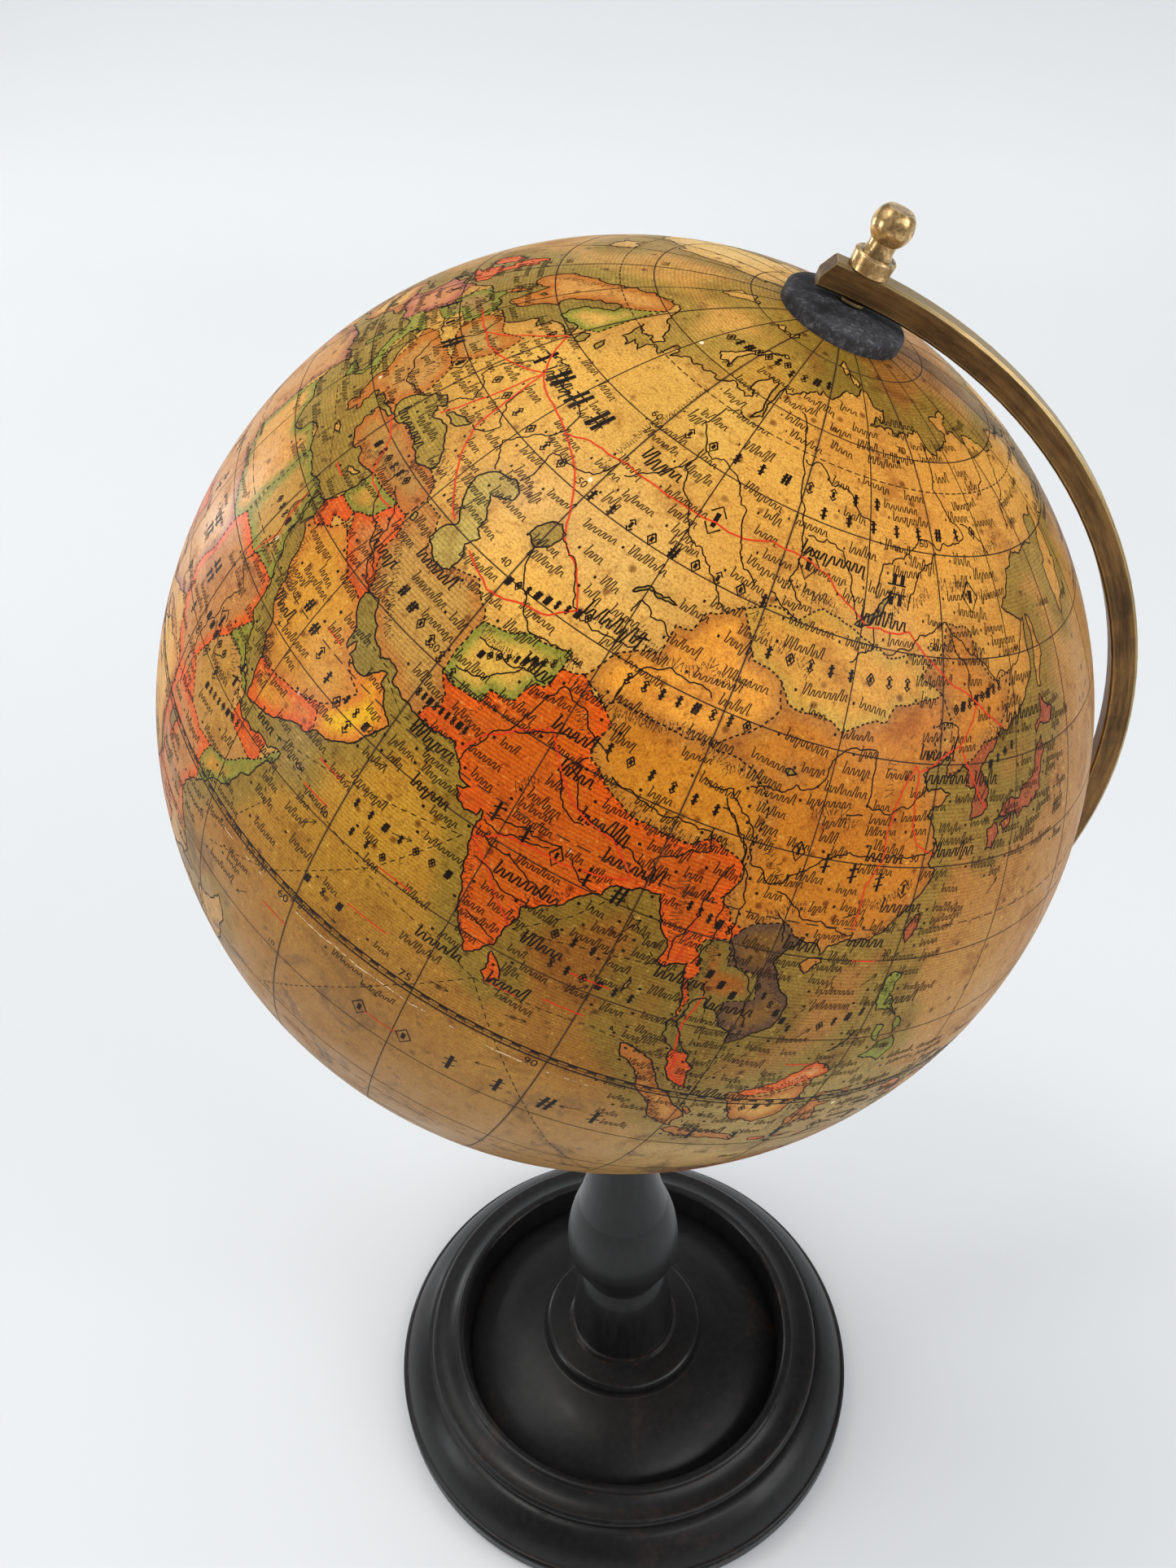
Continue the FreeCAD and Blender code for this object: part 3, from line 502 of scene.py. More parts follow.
    "137.8 -32.7, 135.8 -34.8, 134 -32.7, 131 -31.5, 126 -32.3, 123.5 -33.9, 118 -35,"
    "115.1 -34.3, 115.7 -31.8, 113.3 -26, 113.8 -22.6, 116.8 -20.7, 121.5 -19, 122.3 -17,"
    "125.5 -14.3, 128.2 -15, 130 -13, 130.8 -11.5, 132.5 -11.3, 136.8 -12, 135.6 -14.9,"
    "139.2 -17.4, 140.9 -17.4, 141.6 -13.5",
    "144.8 -40.8, 148.2 -40.9, 148 -43.1, 146.5 -43.6, 145.3 -42.6",
    # the southern continent
    "-180 -78, -160 -78, -150 -77, -135 -74.5, -110 -74.5, -100 -72.5, -75 -73, -68 -68,"
    "-58 -63.3, -61 -66, -61 -74, -45 -78, -30 -77, -18 -72, 0 -70, 30 -69.5, 50 -66.5,"
    "70 -68.5, 73 -70, 85 -67, 110 -66.3, 135 -66.3, 150 -68.5, 170 -71.5, 165 -77, 180 -78,"
    "180 -89, -180 -89",
    # islands of Europe and the Arctic
    "-5.7 50.1, -3.5 50.3, 1.3 51.1, 1.7 52.6, 0.3 53.1, -1.4 54.7, -2 56, -2.1 57.6,"
    "-4 57.8, -3.2 58.6, -5 58.5, -6 56.6, -4.9 55, -3.2 54.8, -3 53.4, -4.5 53.2,"
    "-4.2 52.3, -5.2 51.8, -3.2 51.3",
    "-6.3 52.3, -6.1 53.9, -5.6 54.7, -7.6 55.3, -9.9 54.2, -10.1 52.2, -8.5 51.7",
    "-22.6 64, -18.5 63.5, -13.8 64.9, -15 66.3, -20.3 65.9, -23.3 66.3, -22 65",
    "51.6 71.6, 55 73.4, 58 75, 64 76.2, 68.8 76.8, 60.5 74.8, 56.2 72.6, 57.4 70.7,"
    "54 70.8",
    "11.5 79, 15.5 80, 26 80.1, 21 78.7, 17 76.7, 14 77.6",
    "95.5 79.2, 99.8 79.3, 105.3 78.5, 100.5 77.9, 98 80, 95.5 81.1, 91.8 80.2",
    "138 75, 145 75.6, 150.5 75.2, 143.5 73.3, 140 73.6",
    "47 80.2, 52 80.6, 60 81.4, 63 80.8, 56 80, 50.5 79.9",
    # islands of Asia
    "142 53.5, 143.2 53, 144.6 49, 142.6 47, 142.8 46, 141.9 46.1, 142.2 49.5",
    "140.1 41.5, 141.2 42.5, 143.3 42.1, 145.5 43.3, 141.8 45.4, 141.5 43.2, 139.9 42.5",
    "130.9 34, 132.5 34.2, 135.1 34.5, 135.8 33.5, 136.9 34.5, 138.8 34.7, 139.9 35.1,"
    "140.8 35.7, 141 38.2, 142 39.6, 141.4 41.3, 140 40.2, 139.4 38.2, 137 36.9,"
    "135.9 35.6, 132.6 35.4",
    "129.8 33.2, 131.1 33.9, 132 32.8, 131.1 31.2, 130.2 31.3",
    "132.4 33.5, 134.4 34.3, 134.2 33.3, 132.9 32.8",
    "121.6 25.2, 121.4 23, 120.8 21.9, 120.1 23.2, 121 25",
    "110.5 20.1, 111 19.6, 109.6 18.2, 108.6 19.2, 109.6 20",
    "120.6 18.5, 122.2 18.4, 121.6 15.8, 124.1 12.6, 122.3 13.9, 120.7 13.8, 120.1 16",
    "125.5 9.7, 126.5 7.5, 125.4 5.7, 124 6.6, 122 7, 123.5 8.6",
    "124.3 12.5, 125.6 11.2, 125 10.2, 124.4 11.4",
    "121.9 11.8, 123.1 11.5, 123.2 9.2, 122.4 9.7, 122 10.5",
    "117.2 8.3, 119.4 11.2, 119 10, 117.6 8.6",
    "109 1.5, 111.4 2.4, 113 3.2, 115.3 5.2, 116.8 7, 119.2 5.2, 117.9 4.2, 117.8 0.9,"
    "116.3 -3, 114.5 -4.1, 111.5 -3.4, 110.1 -1.2, 109.1 0.2",
    "95.3 5.6, 97.5 5.2, 100.3 2.7, 103.5 -0.9, 106 -3.1, 105.8 -5.8, 103.9 -5.1, 102.3 -4,"
    "100.4 -1, 98.7 1.7, 96 3.8",
    "105.2 -6.8, 106.1 -5.9, 108.6 -6.7, 111 -6.4, 114.4 -7.7, 114.4 -8.7, 110 -8.1",
    "119 -3.4, 119.8 0.2, 121 1.3, 124.8 1.5, 124.3 0.4, 120.3 0.4, 121.5 -0.9, 123.3 -0.8,"
    "121.6 -1.9, 122.5 -3.3, 122.4 -5.3, 121.2 -4.6, 120.9 -2.7, 120.4 -5.5, 119.4 -5.4",
    "131 -0.8, 134 -0.8, 134.9 -3.3, 137.8 -1.5, 141 -2.6, 145.8 -5.4, 147.8 -6.2,"
    "147 -7, 150.8 -10.5, 146 -8.6, 142.6 -9.3, 138.5 -8.3, 137.8 -5.3, 133 -4.1,"
    "133.9 -2.5, 131.9 -2.6",
    "79.9 9.7, 81.2 8.5, 81.9 7, 80.6 6, 79.9 7",
    "105.4 -1.6, 106.6 -2.6, 106.4 -3.1, 105.5 -2.2", "107.7 -2.7, 108.2 -3, 107.7 -3.2",
    "123.6 -10.3, 127.2 -8.5, 125 -8.8", "116.8 -8.4, 119.1 -8.4, 118.8 -8.8, 117 -9",
    "119.9 -8.4, 122.9 -8.2, 121.5 -8.8, 120 -8.8", "119.4 -9.4, 120.8 -10, 120 -10.3",
    "127.5 0.8, 128.3 1.6, 128 -0.8", "127.9 -3.2, 130.6 -3, 130.6 -3.7, 128.2 -3.4",
    "92.8 13.5, 93 12.2, 92.6 11.6", "93.7 7.3, 93.9 6.8, 93.6 6.9",
    "53.4 12.7, 54.5 12.5, 53.6 12.3", "50.5 26.2, 50.7 26, 50.5 25.9",
    "49.3 -12, 50.4 -15.7, 49.5 -17.8, 47.1 -24.9, 45.2 -25.6, 43.3 -22.5, 44.4 -19.8,"
    "44.4 -16.2, 46.8 -15.4",
    # islands of the Mediterranean
    "32.3 35, 33.8 35.4, 34.6 35.7, 33.9 34.9, 32.8 34.6", "23.6 35.5, 26.2 35.2, 24 35.1",
    "12.5 38, 15.6 38.3, 15.1 36.7, 12.9 37.5", "8.2 40.8, 9.6 41.1, 9.6 39.2, 8.5 39",
    "9.4 42.9, 9.3 41.5, 8.6 42.2", "26.2 39.3, 26.6 39, 26 39.1", "27.8 36.4, 28.2 36.3, 27.9 36",
    # far islands
    "172.7 -34.4, 174.9 -37, 178.5 -37.7, 176.9 -39.6, 175.2 -41.6, 173.8 -39.4, 174.8 -38",
    "172.8 -40.5, 174.2 -41.8, 171.2 -44.2, 170.4 -46.3, 168 -46.6, 166.5 -45.9, 170.5 -43",
    "-45 60, -42 62, -40 65, -31 68, -22 70.5, -19 74, -20 77, -12 81.5, -32 83.6, -60 82,"
    "-72 78.5, -60 76, -54 71, -53.5 67, -50 62",
    "-66 62, -78 64.5, -73 65.5, -74 68, -86 70, -88 73.5, -80 73.8, -68 70, -62 66.8",
    "-117 69, -105 69, -104 73, -117 73", "-90 76.5, -79 76.2, -63 82, -70 83.1, -92 81.5, -88 79",
    "-59.3 47.7, -56 51.6, -53 47.5", "-85 21.8, -80 23.1, -74.5 20.3, -77.5 19.9",
    "-74.2 18.4, -73 19.9, -68.5 18.6, -71 17.8", "-78.3 18.4, -76.3 18, -77.5 17.8",
    "151 -4.2, 152.2 -4.1, 151 -6.2, 148.5 -5.7", "164 -20.2, 167 -22.3, 165 -21.2",
)]

WATER = [path(text) for text in (
    # Caspian, Black Sea, Azov, Aral, Balkash, Baikal, Ladoga, Onega
    "47.5 45.6, 49 46.4, 51.5 46.9, 53 46.3, 53.1 45.3, 51.2 44.6, 50.3 44.4, 51.5 43.2,"
    "52.5 42.6, 52.7 41.3, 53.9 40.9, 53 39.5, 53.8 38.9, 53.9 36.9, 51 36.7, 49 37.6,"
    "49.2 39.2, 50.3 40.3, 48.6 41.9, 47.5 43, 46.8 44.5",
    "29 41.2, 31.4 41.2, 33.4 42, 35.2 42, 36.5 41.3, 38.4 41, 41.5 41.5, 41.4 42.6,"
    "38.5 44.3, 36.8 45.1, 35.4 45, 33.7 44.4, 32.5 45.4, 33.4 46.1, 31.5 46.6, 30 45.7,"
    "28.7 44.3, 27.6 42.5, 28.1 41.6",
    "35 45.6, 36.8 45.5, 38.2 46.2, 38.9 47.2, 36.8 46.8, 35 46.2",
    "58.2 44.2, 60 43.6, 61.2 44.3, 61.9 46.3, 60.6 46.8, 59 46.1, 58.3 45.3",
    "73.4 45.6, 75 46.6, 77.6 46.4, 79.2 46.6, 77.8 46.9, 75 46.9, 73.7 46.2",
    "103.8 51.5, 106 51.8, 108.4 53.4, 109.8 55.6, 108.4 54.6, 105.5 52.6",
    "30.2 61.2, 31.2 61.6, 32.8 60.8, 32.6 60.2, 31.2 60",
    "34.4 62.6, 35.6 62.2, 36.2 61.2, 35 61.3", "26.2 40.5, 27.6 40.9, 28.9 40.9, 27.6 40.6",
    "44.9 38.1, 45.4 38.2, 45.7 37.4, 45.2 37.3", "76.6 42.3, 78.4 42.6, 77 42.1",
    "99.2 37.1, 100.8 36.9, 99.7 36.6", "28.2 58.7, 27.9 57.8, 27.4 58.8",
    "12.7 58.8, 14 59.2, 13.2 58.4", "130.8 41.9, 130.9 42, 130.9 41.9",
    # lakes elsewhere
    "31.8 -0.5, 34 0.2, 33.5 -2.4, 32 -2.4", "29.2 -3.4, 31 -8.6, 29.5 -6",
    "-92 46.8, -87 48.9, -84.6 46.6, -89 46.8", "-87.8 42, -86 45.8, -82 46, -83 43, -85 45.5, -86.3 42",
    "-83 42, -79 43, -82 41.4", "-79.6 43.4, -76.2 44, -77 43.3", "-120 65, -117 67, -124 66.5",
)]

RED = linear(216, 90, 18)
GREEN = linear(128, 132, 56)
BROWN = linear(176, 104, 44)

# Tint, strength of its hatching, colour of its inside edge and outline, in painting order.
COUNTRIES = [(linear(*tint), hatch, edge, path(text)) for tint, hatch, edge, text in (
    ((190, 118, 36), 0.1, (0.42, 0.16, 0.032, 1), # China
     "74 37, 76 40.3, 80.3 42, 80.3 45, 82.5 45.3, 83 47.2, 85.6 48.3, 87.5 49.2, 91 45.2,"
     "95.5 44.3, 97 42.7, 101.5 42.6, 105 41.6, 111 43.4, 112 45, 115.6 45.5, 119.8 46.6, 116 48,"
     "117.5 49.6, 120 50.5, 121 53.3, 125.5 53, 127.5 50, 131 47.7, 134.7 48.4, 133 45,"
     "131.2 43, 130.6 42.4, 128 42, 124.2 39.9, 122 38, 126 32, 123 24, 118 21, 112 17, 108 17,"
     "108 21.6, 106.7 22, 105.3 23.3, 102.5 22.6, 101.1 21.6, 99.5 22, 98.9 23.2, 97.6 24,"
     "98.7 25.8, 98.6 27.5, 97.3 28.2, 94.5 29.2, 92.5 27.9, 91.5 27.8, 88.8 27.9, 86.5 28,"
     "84 28.8, 81 30.2, 79 31.2, 78.7 32.5, 79.5 34.5, 77.8 35.5"),
    ((195, 126, 38), 0.0, (0.44, 0.17, 0.028, 1), # Tibet
     "77.8 35.5, 78.4 36.4, 84 36.6, 90 36.8, 96 36, 98.8 33.4, 98.6 30, 98.6 27.5, 97.3 28.2,"
     "94.5 29.2, 92.5 27.9, 91.5 27.8, 88.8 27.9, 86.5 28, 84 28.8, 81 30.2, 79 31.2, 78.7 32.5, 79.5 34.5"),
    ((226, 158, 64), 0.0, (0.47, 0.19, 0.04, 1), # Sinkiang
     "74 37, 76 40.3, 80.3 42, 80.3 45, 82.5 45.3, 83 47.2, 85.6 48.3, 87.5 49.2, 91 45.2,"
     "95.5 44.3, 96.4 42, 93.5 39, 90 36.8, 84 36.6, 78.4 36.4, 77.8 35.5"),
    ((208, 152, 68), 0.0, linear(190, 150, 70),     # Mongolia
     "87.5 49.2, 91 50.5, 95 50, 98.5 52, 102 51.4, 106.5 50.3, 110 49.2, 116.5 49.8, 116 48,"
     "119.8 46.6, 115.6 45.5, 112 45, 111 43.4, 105 41.6, 101.5 42.6, 97 42.7, 95.5 44.3, 91 45.2"),
    ((190, 124, 52), 0.3, (0.40, 0.17, 0.045, 1), # Manchuria
     "119.8 46.6, 116 48, 117.5 49.6, 120 50.5, 121 53.3, 125.5 53, 127.5 50, 131 47.7,"
     "134.7 48.4, 133 45, 131.2 43, 130.6 42.4, 128 42, 124.2 39.9, 121.5 39, 120 40, 119 42, 121.6 44.4"),
    ((125, 95, 55), 0.4, linear(158, 78, 50),       # Korea
     "124.2 39.9, 128 42, 130.7 42.3, 131 38, 130.4 35.4, 129 34, 125 33, 124 38"),
    ((160, 104, 62), 0.4, linear(158, 78, 50),      # Japan and Formosa
     "128 30, 129 33.6, 131 35.4, 135 37, 138 41, 141 46.2, 147 44, 143 38, 141 33, 131 29"),
    ((160, 104, 62), 0.4, linear(158, 78, 50), "119.6 24.6, 122.6 25.6, 122 21.4, 119.8 22.4"),
    ((153, 85, 30), 0.0, linear(122, 104, 50),      # Siam
     "98.2 15, 98.9 16.2, 97.4 18.5, 98 19.7, 100.3 20.3, 101.2 17.6, 104.7 17.4, 105.6 14.5,"
     "102.6 13.6, 102.8 11.8, 101 12, 101 9, 102.3 6.3, 100.3 6.5, 98 7, 97.5 10, 98.8 10.2, 99.2 13"),
    ((122, 86, 44), 0.0, linear(92, 66, 56),        # Indo-China
     "100.3 20.3, 101.1 21.6, 102.5 22.6, 105.3 23.3, 106.7 22, 108.2 21.5, 108 19, 110.5 14,"
     "109.5 10, 105 7.5, 102.8 11.8, 102.6 13.6, 105.6 14.5, 104.7 17.4, 101.2 17.6"),
    ((165, 84, 34), 1.0, RED, "100.3 6.5, 102.3 6.3, 104.5 4, 105 1, 103 1, 100 4"),
    ((205, 155, 90), 0.0, BROWN,            # East Indies
     "95 6, 98 5.5, 103 1, 108 2, 112 1, 118 4, 126 5, 141 0, 141 -10, 125 -11, 105 -9, 94 3"),
    ((215, 190, 145), 1.0, RED,
     "109.6 1.8, 111.5 1, 115 2.5, 117.8 4.2, 119.5 5.2, 117 7.5, 112 4, 109.8 2.4"),
    ((108, 80, 50), 0.0, GREEN, "117 7.5, 119 12, 119 19, 123 19.5, 127 12, 128 6, 122 5"),
    ((196, 92, 20), 1.0, RED,               # India, Baluchistan, Burma, Ceylon
     "61.6 25, 61.8 26.3, 63.2 27.2, 62.8 28.3, 61 29.8, 62.5 29.4, 66.3 29.8, 66.4 31.2,"
     "69.3 31.8, 70 33.9, 71.1 34.2, 71.6 36.4, 74 37.1, 77.8 35.5, 79.5 34.5, 78.7 32.5,"
     "79 31.2, 81 30.2, 84 28.8, 86.5 28, 88.8 27.9, 91.5 27.8, 92.5 27.9, 94.5 29.2,"
     "97.3 28.2, 98.6 27.5, 98.7 25.8, 97.6 24, 98.9 23.2, 99.5 22, 101.1 21.6, 100.3 20.3,"
     "98 19.7, 97.4 18.5, 98.9 16.2, 98.2 15, 99.2 13, 98.8 10.2, 97.5 10, 92 15,"
     "93 20, 89 21, 85 18.8, 81.5 14, 82.6 9, 82.4 5.5, 79.5 5, 79 7.6, 77.5 7.3, 74 12, 72 18,"
     "70.5 20, 67.5 22.5, 66 24.5"),
    ((205, 162, 80), 0.0, GREEN,            # Afghanistan
     "61 29.8, 60.9 34.3, 61.3 35.6, 64.5 36.3, 66.5 37.4, 70 37.7, 71.5 38.3, 71.6 36.4,"
     "71.1 34.2, 70 33.9, 69.3 31.8, 66.4 31.2, 66.3 29.8, 62.5 29.4"),
    ((183, 142, 78), 0.9, linear(182, 122, 62),     # Persia
     "44.8 39.5, 47.8 39.6, 48.9 38.4, 51 37.5, 54 37.3, 57.5 38.2, 60.5 36.5, 61.2 35.6,"
     "60.9 34.3, 61 29.8, 62.8 28.3, 63.2 27.2, 61.8 26.3, 61.6 24.5, 57 25.2, 52 26.6,"
     "49.8 29.5, 48 30.2, 47.8 31, 45.6 33.9, 45.8 35.2, 44.4 37.2"),
    ((196, 124, 70), 0.8, RED,              # Irak
     "45.6 33.9, 47.8 31, 48.4 28.6, 46.6 29.1, 44.7 29.2, 40.5 31.6, 38.9 33.3, 41.2 34.6,"
     "42.3 37.2, 44.4 37.2, 45.8 35.2"),
    ((190, 142, 64), 0.0, GREEN,            # Syria
     "35.6 33.2, 38.9 33.3, 41.2 34.6, 42.3 37.2, 38 36.8, 36 36.8, 35.4 35.5"),
    ((184, 115, 60), 0.8, RED,              # Palestine
     "34.2 31.3, 35.6 33.2, 38.9 33.3, 39.2 32.1, 37 31.4, 38 30.4, 36 29.2, 34.9 29.4"),
    ((168, 122, 64), 0.0, BROWN,            # Turkey
     "26 40, 27 42, 30 42.5, 41.5 41.6, 43.6 41.1, 44.8 39.6, 44.4 37.2, 42.3 37.2, 38 36.8,"
     "36 36.8, 35.8 35.8, 30 35.8, 25.8 37"),
    ((200, 142, 52), 0.0, linear(196, 126, 50),     # Arabia
     "34.9 29.4, 36 29.2, 38 30.4, 39.2 32.1, 40.5 31.6, 44.7 29.2, 46.6 29.1, 48.4 28.6,"
     "51.6 26, 52 24, 55 22.6, 52 19, 45 17, 42 16.8, 38 21, 34.5 28"),
    ((225, 178, 28), 0.0, linear(206, 120, 40),     # Oman
     "52 24, 56.2 26.6, 60.5 22.5, 56.5 17, 53 16.5, 52 19, 55 22.6"),
    ((202, 136, 40), 0.5, RED,              # Yemen and Aden
     "42 16.8, 45 17, 52 19, 53 16.5, 52.5 15, 45 12, 43 12.5, 42.5 15"),
    ((178, 138, 70), 0.0, GREEN,            # Egypt
     "25 31.8, 25 22, 36.5 22, 37.5 23, 34.5 28, 34.9 29.4, 34.2 31.4, 30 32"),
    ((180, 124, 76), 0.5, RED,              # Sudan
     "25 22, 36.5 22, 38.5 18, 36.5 14.5, 34 10.5, 33 8, 35.8 4.5, 30 4, 24 8.7, 22.5 12, 24 15.7, 24 20"),
    ((178, 132, 64), 0.0, linear(178, 130, 74),     # Abyssinia
     "36.5 14.5, 40 14.4, 42.4 12.5, 42 11, 43 9.2, 47.9 8, 45 5, 41.9 4, 39 3.5, 35.8 4.5, 33 8, 34 10.5"),
    ((204, 134, 40), 0.0, GREEN, "38.5 18, 40 15.5, 43.2 12.6, 42.4 12.5, 40 14.4, 36.5 14.5"),
    ((204, 134, 40), 0.0, GREEN, "47.9 8, 49 9, 51.8 12.5, 52 10, 46 1, 41.5 -2, 41 1, 41.9 4, 45 5"),
    ((184, 112, 56), 0.8, RED, "43 11.3, 43 9.2, 47.9 8, 49 9, 49 11.5, 44.5 10.9"),
    ((186, 126, 76), 0.5, RED,              # East Africa
     "30 4, 35.8 4.5, 39 3.5, 41.9 4, 41 1, 41.5 -2, 40.6 -10.7, 34.5 -11.5, 30.5 -8.5, 29.5 -4, 29.6 0"),
    ((202, 150, 80), 0.0, GREEN, "11 33.5, 10 30, 10 24, 14 22.6, 24 20, 25 22, 25 32"),
    ((190, 140, 96), 0.0, linear(160, 104, 90),     # French Africa
     "-17 21, -13 15, -16 12, -5 4, 10 14, 15 4, 24 8.7, 22.5 12, 24 15.7, 24 20, 14 22.6, 10 24,"
     "10 30, 11 38, -3 36, -10 28"),
    ((205, 153, 75), 0.0, BROWN, "12 -6, 16 -3, 18 4, 24 5, 30 4, 29.5 -4, 30.5 -8.5, 28 -12, 22 -11, 17 -7"),
    ((192, 112, 66), 0.8, RED, "20 -18, 30.5 -8.5, 34 -10, 35.5 -14, 32 -20, 34 -27, 31 -36, 16 -36, 14 -28"),
    ((192, 112, 66), 0.8, RED, "3 5, 3.5 12, 13 13.5, 9 4"),
    ((172, 134, 78), 0.0, BROWN,            # Poland
     "18.6 54.6, 23 54, 26.5 55.6, 28 53, 26.5 50, 25 48, 22 49, 19 49.4, 16 50.5, 16 53"),
    ((160, 126, 88), 0.0, GREEN, "6 53.5, 9 55, 14 54.5, 16 53, 16 50.5, 12 50.3, 13 48.5, 8 47.6, 6 51"),
    ((196, 134, 100), 0.0, linear(166, 96, 90), "-5 48.5, 2.5 51.2, 8 49, 7 43, 3 42.4, -2 43.4"),
    ((206, 160, 86), 0.0, BROWN, "-9.5 43.5, -2 43.4, 3 42.4, 3.5 41.5, 0 36.5, -6 35.5, -9.5 37"),
    ((190, 146, 84), 0.0, GREEN, "7 43, 7 46, 13.5 46.5, 13 43, 19 40, 15 36, 8 38.5"),
    ((180, 130, 74), 0.0, BROWN,
     "13.5 46.5, 16 47.8, 22 48.2, 26.5 48.3, 28.5 45.5, 28.3 42, 26 41, 24 34.8, 20 36, 19 41.5"),
    ((196, 142, 81), 0.0, BROWN, "5 57, 12 55, 19 56, 24.2 65.8, 29 69.8, 25 71.5, 15 69, 4 61"),
    ((206, 160, 90), 0.0, GREEN, "24.2 65.8, 29 69.8, 30 67, 31.5 62.5, 28 60.5, 21 60, 21 63.5"),
    ((192, 112, 66), 0.8, RED, "-11 51, -8 56, -7 59.5, 0 60, 2.5 52.5, 0 50, -6 49.5"),
    ((194, 116, 68), 0.8, RED,              # Canada
     "-141 70, -141 60, -130 54.5, -123 48.5, -95 49, -83 45.5, -79 43, -67 45, -60 43, -50 48,"
     "-60 62, -76 75, -60 84, -125 80"),
    ((212, 166, 96), 0.0, GREEN,
     "-125 49, -95 49, -83 45.5, -79 43, -67 45, -74 40, -80 24, -97 26, -106 31.5, -117 32.5"),
    ((204, 142, 84), 0.0, BROWN, "-117 32.5, -106 31.5, -97 26, -96 19, -87 22, -90 15, -110 20"),
    ((196, 158, 84), 0.0, GREEN, "-60 5, -50 4, -34 -5, -40 -23, -53 -33, -58 -22, -70 -10, -70 0"),
    ((212, 150, 92), 0.0, BROWN, "-70 -22, -58 -22, -56 -30, -57 -38, -66 -55, -71 -45, -70 -33"),
    ((188, 110, 62), 0.8, RED, "110 -9.8, 155 -9.8, 155 -45, 110 -45"),
    ((188, 110, 62), 0.8, RED, "165 -33, 179.9 -33, 179.9 -48, 165 -48"),
)]

# Sea tones and the tones of land that no country covers: longitude, latitude, colour; a few of them carry
# painted highlight.
SEA_TONES_AND_SHEEN = [(east, north, linear(*tone)) for east, north, tone in (
    (63, 17, (187, 141, 48)), (60, 5, (172, 127, 40)), (70, -6, (158, 110, 46)),
    (88, -5, (178, 132, 62)), (50, -8, (165, 118, 48)), (88, 13, (146, 95, 36)), (93, 2, (156, 108, 44)),
    # (51, 42) the Caspian: its pale tone is partly painted highlight
    (51, 42, (240, 214, 134)), (35, 43, (194, 156, 66)), (37, 21, (170, 136, 64)),
    (51, 27, (162, 136, 72)), (18, 58, (163, 133, 82)), (40, 73, (197, 154, 88)),
    (68, 72, (242, 172, 78)), (90, 79, (128, 82, 36)), (135, 40, (154, 113, 58)),
    (113, 16, (160, 112, 58)), (107, 8, (142, 104, 52)), (112, -4, (214, 194, 152)),
    (30, 34, (176, 140, 72)), (15, 36, (182, 146, 80)), (125, 30, (174, 124, 62)),
    (140, 15, (172, 128, 70)), (-160, 10, (190, 146, 78)), (-150, -30, (186, 142, 80)),
    (-40, 30, (190, 148, 80)), (-20, -20, (184, 140, 78)), (100, -35, (168, 124, 68)),
    (-30, 60, (188, 146, 84)), (150, 55, (176, 132, 74)), (107, 53, (190, 152, 88)),
    (60, 45, (196, 160, 92)),
)]
LAND_TONES_AND_SHEEN = [(east, north, linear(*tone)) for east, north, tone in (
    # (65, 48) Kazakhstan: its pale bluish tone is partly painted highlight
    (38, 55, (214, 168, 88)), (65, 48, (214, 172, 110)), (90, 60, (212, 160, 82)), (120, 62, (214, 156, 76)),
    (100, 70, (200, 142, 66)), (33, 49, (200, 151, 72)), (60, 62, (206, 163, 88)), (140, 55, (196, 142, 72)),
    (62, 39, (222, 172, 92)), (20, 62, (198, 146, 82)), (-40, 70, (214, 176, 112)), (0, -80, (216, 186, 128)),
    (-70, 5, (204, 150, 88)), (20, 0, (204, 150, 82)), (145, -5, (180, 130, 78)), (-150, 64, (206, 160, 92)),
)]

